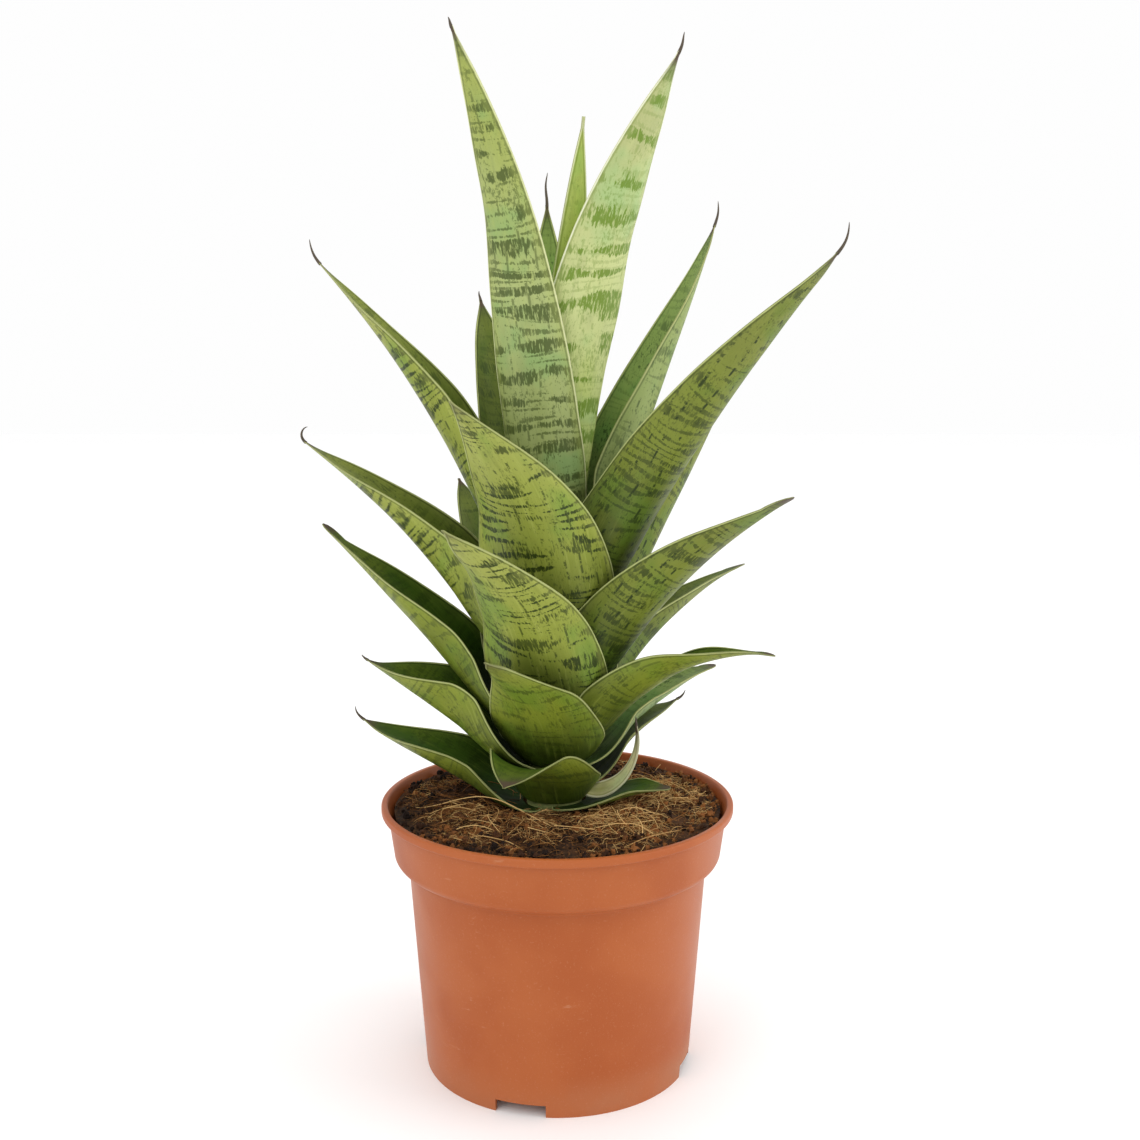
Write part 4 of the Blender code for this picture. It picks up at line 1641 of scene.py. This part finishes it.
    def long_fibres(self, strands: GeometryTree, coir: TintedFinish) -> bpy.types.Object:
        """A few long loose fibres that arch over the soil.

        Args:
            strands: the tree that makes strands.
            coir: the fibres' finish.

        Returns:
            One piece with every long fibre.
        """
        routes = (
            ((-52, -3, 89.5), (-43, -5, 90.5), (-34, -10, 95), (-25, -16, 98.5), (-17, -21, 98),
             (-9, -26, 95), (-2, -29, 92.5)),
            ((12, -30, 92), (19, -31, 94), (26, -30, 93.5), (32, -33, 90.5)),
            ((30, 24, 90.5), (38, 18, 93), (45, 9, 92), (49, 0, 89.5)),
            ((-30, -34, 90), (-24, -38, 92.5), (-15, -42, 92), (-8, -47, 89.5)),
            ((20, -44, 90), (28, -40, 92.5), (37, -33, 92), (43, -25, 90)),
        )
        paths = []
        count = 26
        share = np.linspace(0.0, 1.0, count)
        for number, route in enumerate(routes):
            keys = np.array(route, float) * MM
            knots = np.linspace(0.0, 1.0, len(keys))
            track = np.stack([np.interp(share, knots, keys[:, axis]) for axis in range(3)], -1)
            for _ in range(4):
                track[1:-1] = 0.25 * track[:-2] + 0.5 * track[1:-1] + 0.25 * track[2:]
            paths.append((track, np.full(count, 0.15 * MM), 0.95 - 0.05 * number))
        return strands.apply("long_fibres", paths_mesh("long_fibre_paths", paths), Sides=6,
                             Finish=coir.make())


# --------------------------------------------------------------------------------- studio
@dataclass
class Studio:
    """Pale floor, soft lights and the camera."""

    floor_size: float = 6.0
    floor_colour: Colour = (1.0, 1.0, 1.0)
    aim: Point = (0.0, 0.0, 0.17)
    sky: float = 0.99
    camera_place: Point = (0.0043, -0.478, 0.2515)
    camera_pitch: float = 80.5
    lens: float = 45.8

    def floor(self) -> None:
        """A plain pale floor."""
        half = 0.5 * self.floor_size
        mesh = bpy.data.meshes.new("floor")
        corners = [(-half, -half, 0.0), (half, -half, 0.0), (half, half, 0.0), (-half, half, 0.0)]
        mesh.from_pydata(corners, [], [(0, 1, 2, 3)])
        material = Finish("floor_pale", 0.8, 0.2).make()
        shader = material.node_tree.nodes["Principled BSDF"]
        shader.inputs["Base Color"].default_value = (*self.floor_colour, 1.0)
        mesh.materials.append(material)
        floor = add_object("floor", mesh)

    def lamp(self, name: str, place: Point, size: float, power: float) -> None:
        """A square soft light aimed at the plant.

        Args:
            name: the light's name.
            place: where it hangs.
            size: its side.
            power: its power, in watts.
        """
        data = bpy.data.lights.new(name, "AREA")
        data.size = size
        data.energy = power
        lamp = add_object(name, data)
        lamp.location = place
        lamp.rotation_euler = (Vector(self.aim) - Vector(place)).to_track_quat("-Z", "Y").to_euler()

    def light(self) -> None:
        """Soft light from all round, stronger from the front left and above."""
        world = bpy.data.worlds.new("studio_white")
        world.use_nodes = True
        background = world.node_tree.nodes["Background"].inputs
        background["Color"].default_value = (1.0, 1.0, 1.0, 1.0)
        background["Strength"].default_value = self.sky
        bpy.context.scene.world = world
        self.lamp("key_light", (-0.75, -1.0, 1.15), 0.8, 4.2)
        self.lamp("fill_light", (1.1, -0.15, 0.6), 0.9, 4.5)
        self.lamp("top_light", (0.0, 0.25, 1.6), 1.2, 2.5)

    def camera(self) -> None:
        """The camera, a little above the plant's middle and looking slightly down."""
        data = bpy.data.cameras.new("camera")
        data.lens = self.lens
        data.sensor_width = 36.0
        data.clip_start = 0.01
        camera = add_object("camera", data)
        camera.location = self.camera_place
        camera.rotation_euler = (math.radians(self.camera_pitch), 0.0, 0.0)
        bpy.context.scene.camera = camera

    def build(self) -> None:
        """Set up the floor, the lights and the camera."""
        self.floor()
        self.light()
        self.camera()
        bpy.context.scene.view_settings.view_transform = "Standard"
        LOG.info("studio set up")


def main() -> None:
    """Build the pot, soil, stem and leaves in order, ride them on the root and set the studio."""
    logging.basicConfig(level=logging.INFO, format="%(name)s: %(message)s")
    stem = Stem()
    pot = Pot()
    strands = strand_tree()
    pieces = [pot.build()]
    pieces += Soil(pot, stem).build(strands)
    stem.dress()
    pieces += Rosette(stem, LEAF_FORMS).build(strands)
    for piece in pieces:
        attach(piece, "root")
        LOG.info("%s: %d faces", piece.name, len(piece.data.polygons))
    Studio().build()


if __name__ == "__main__":
    main()
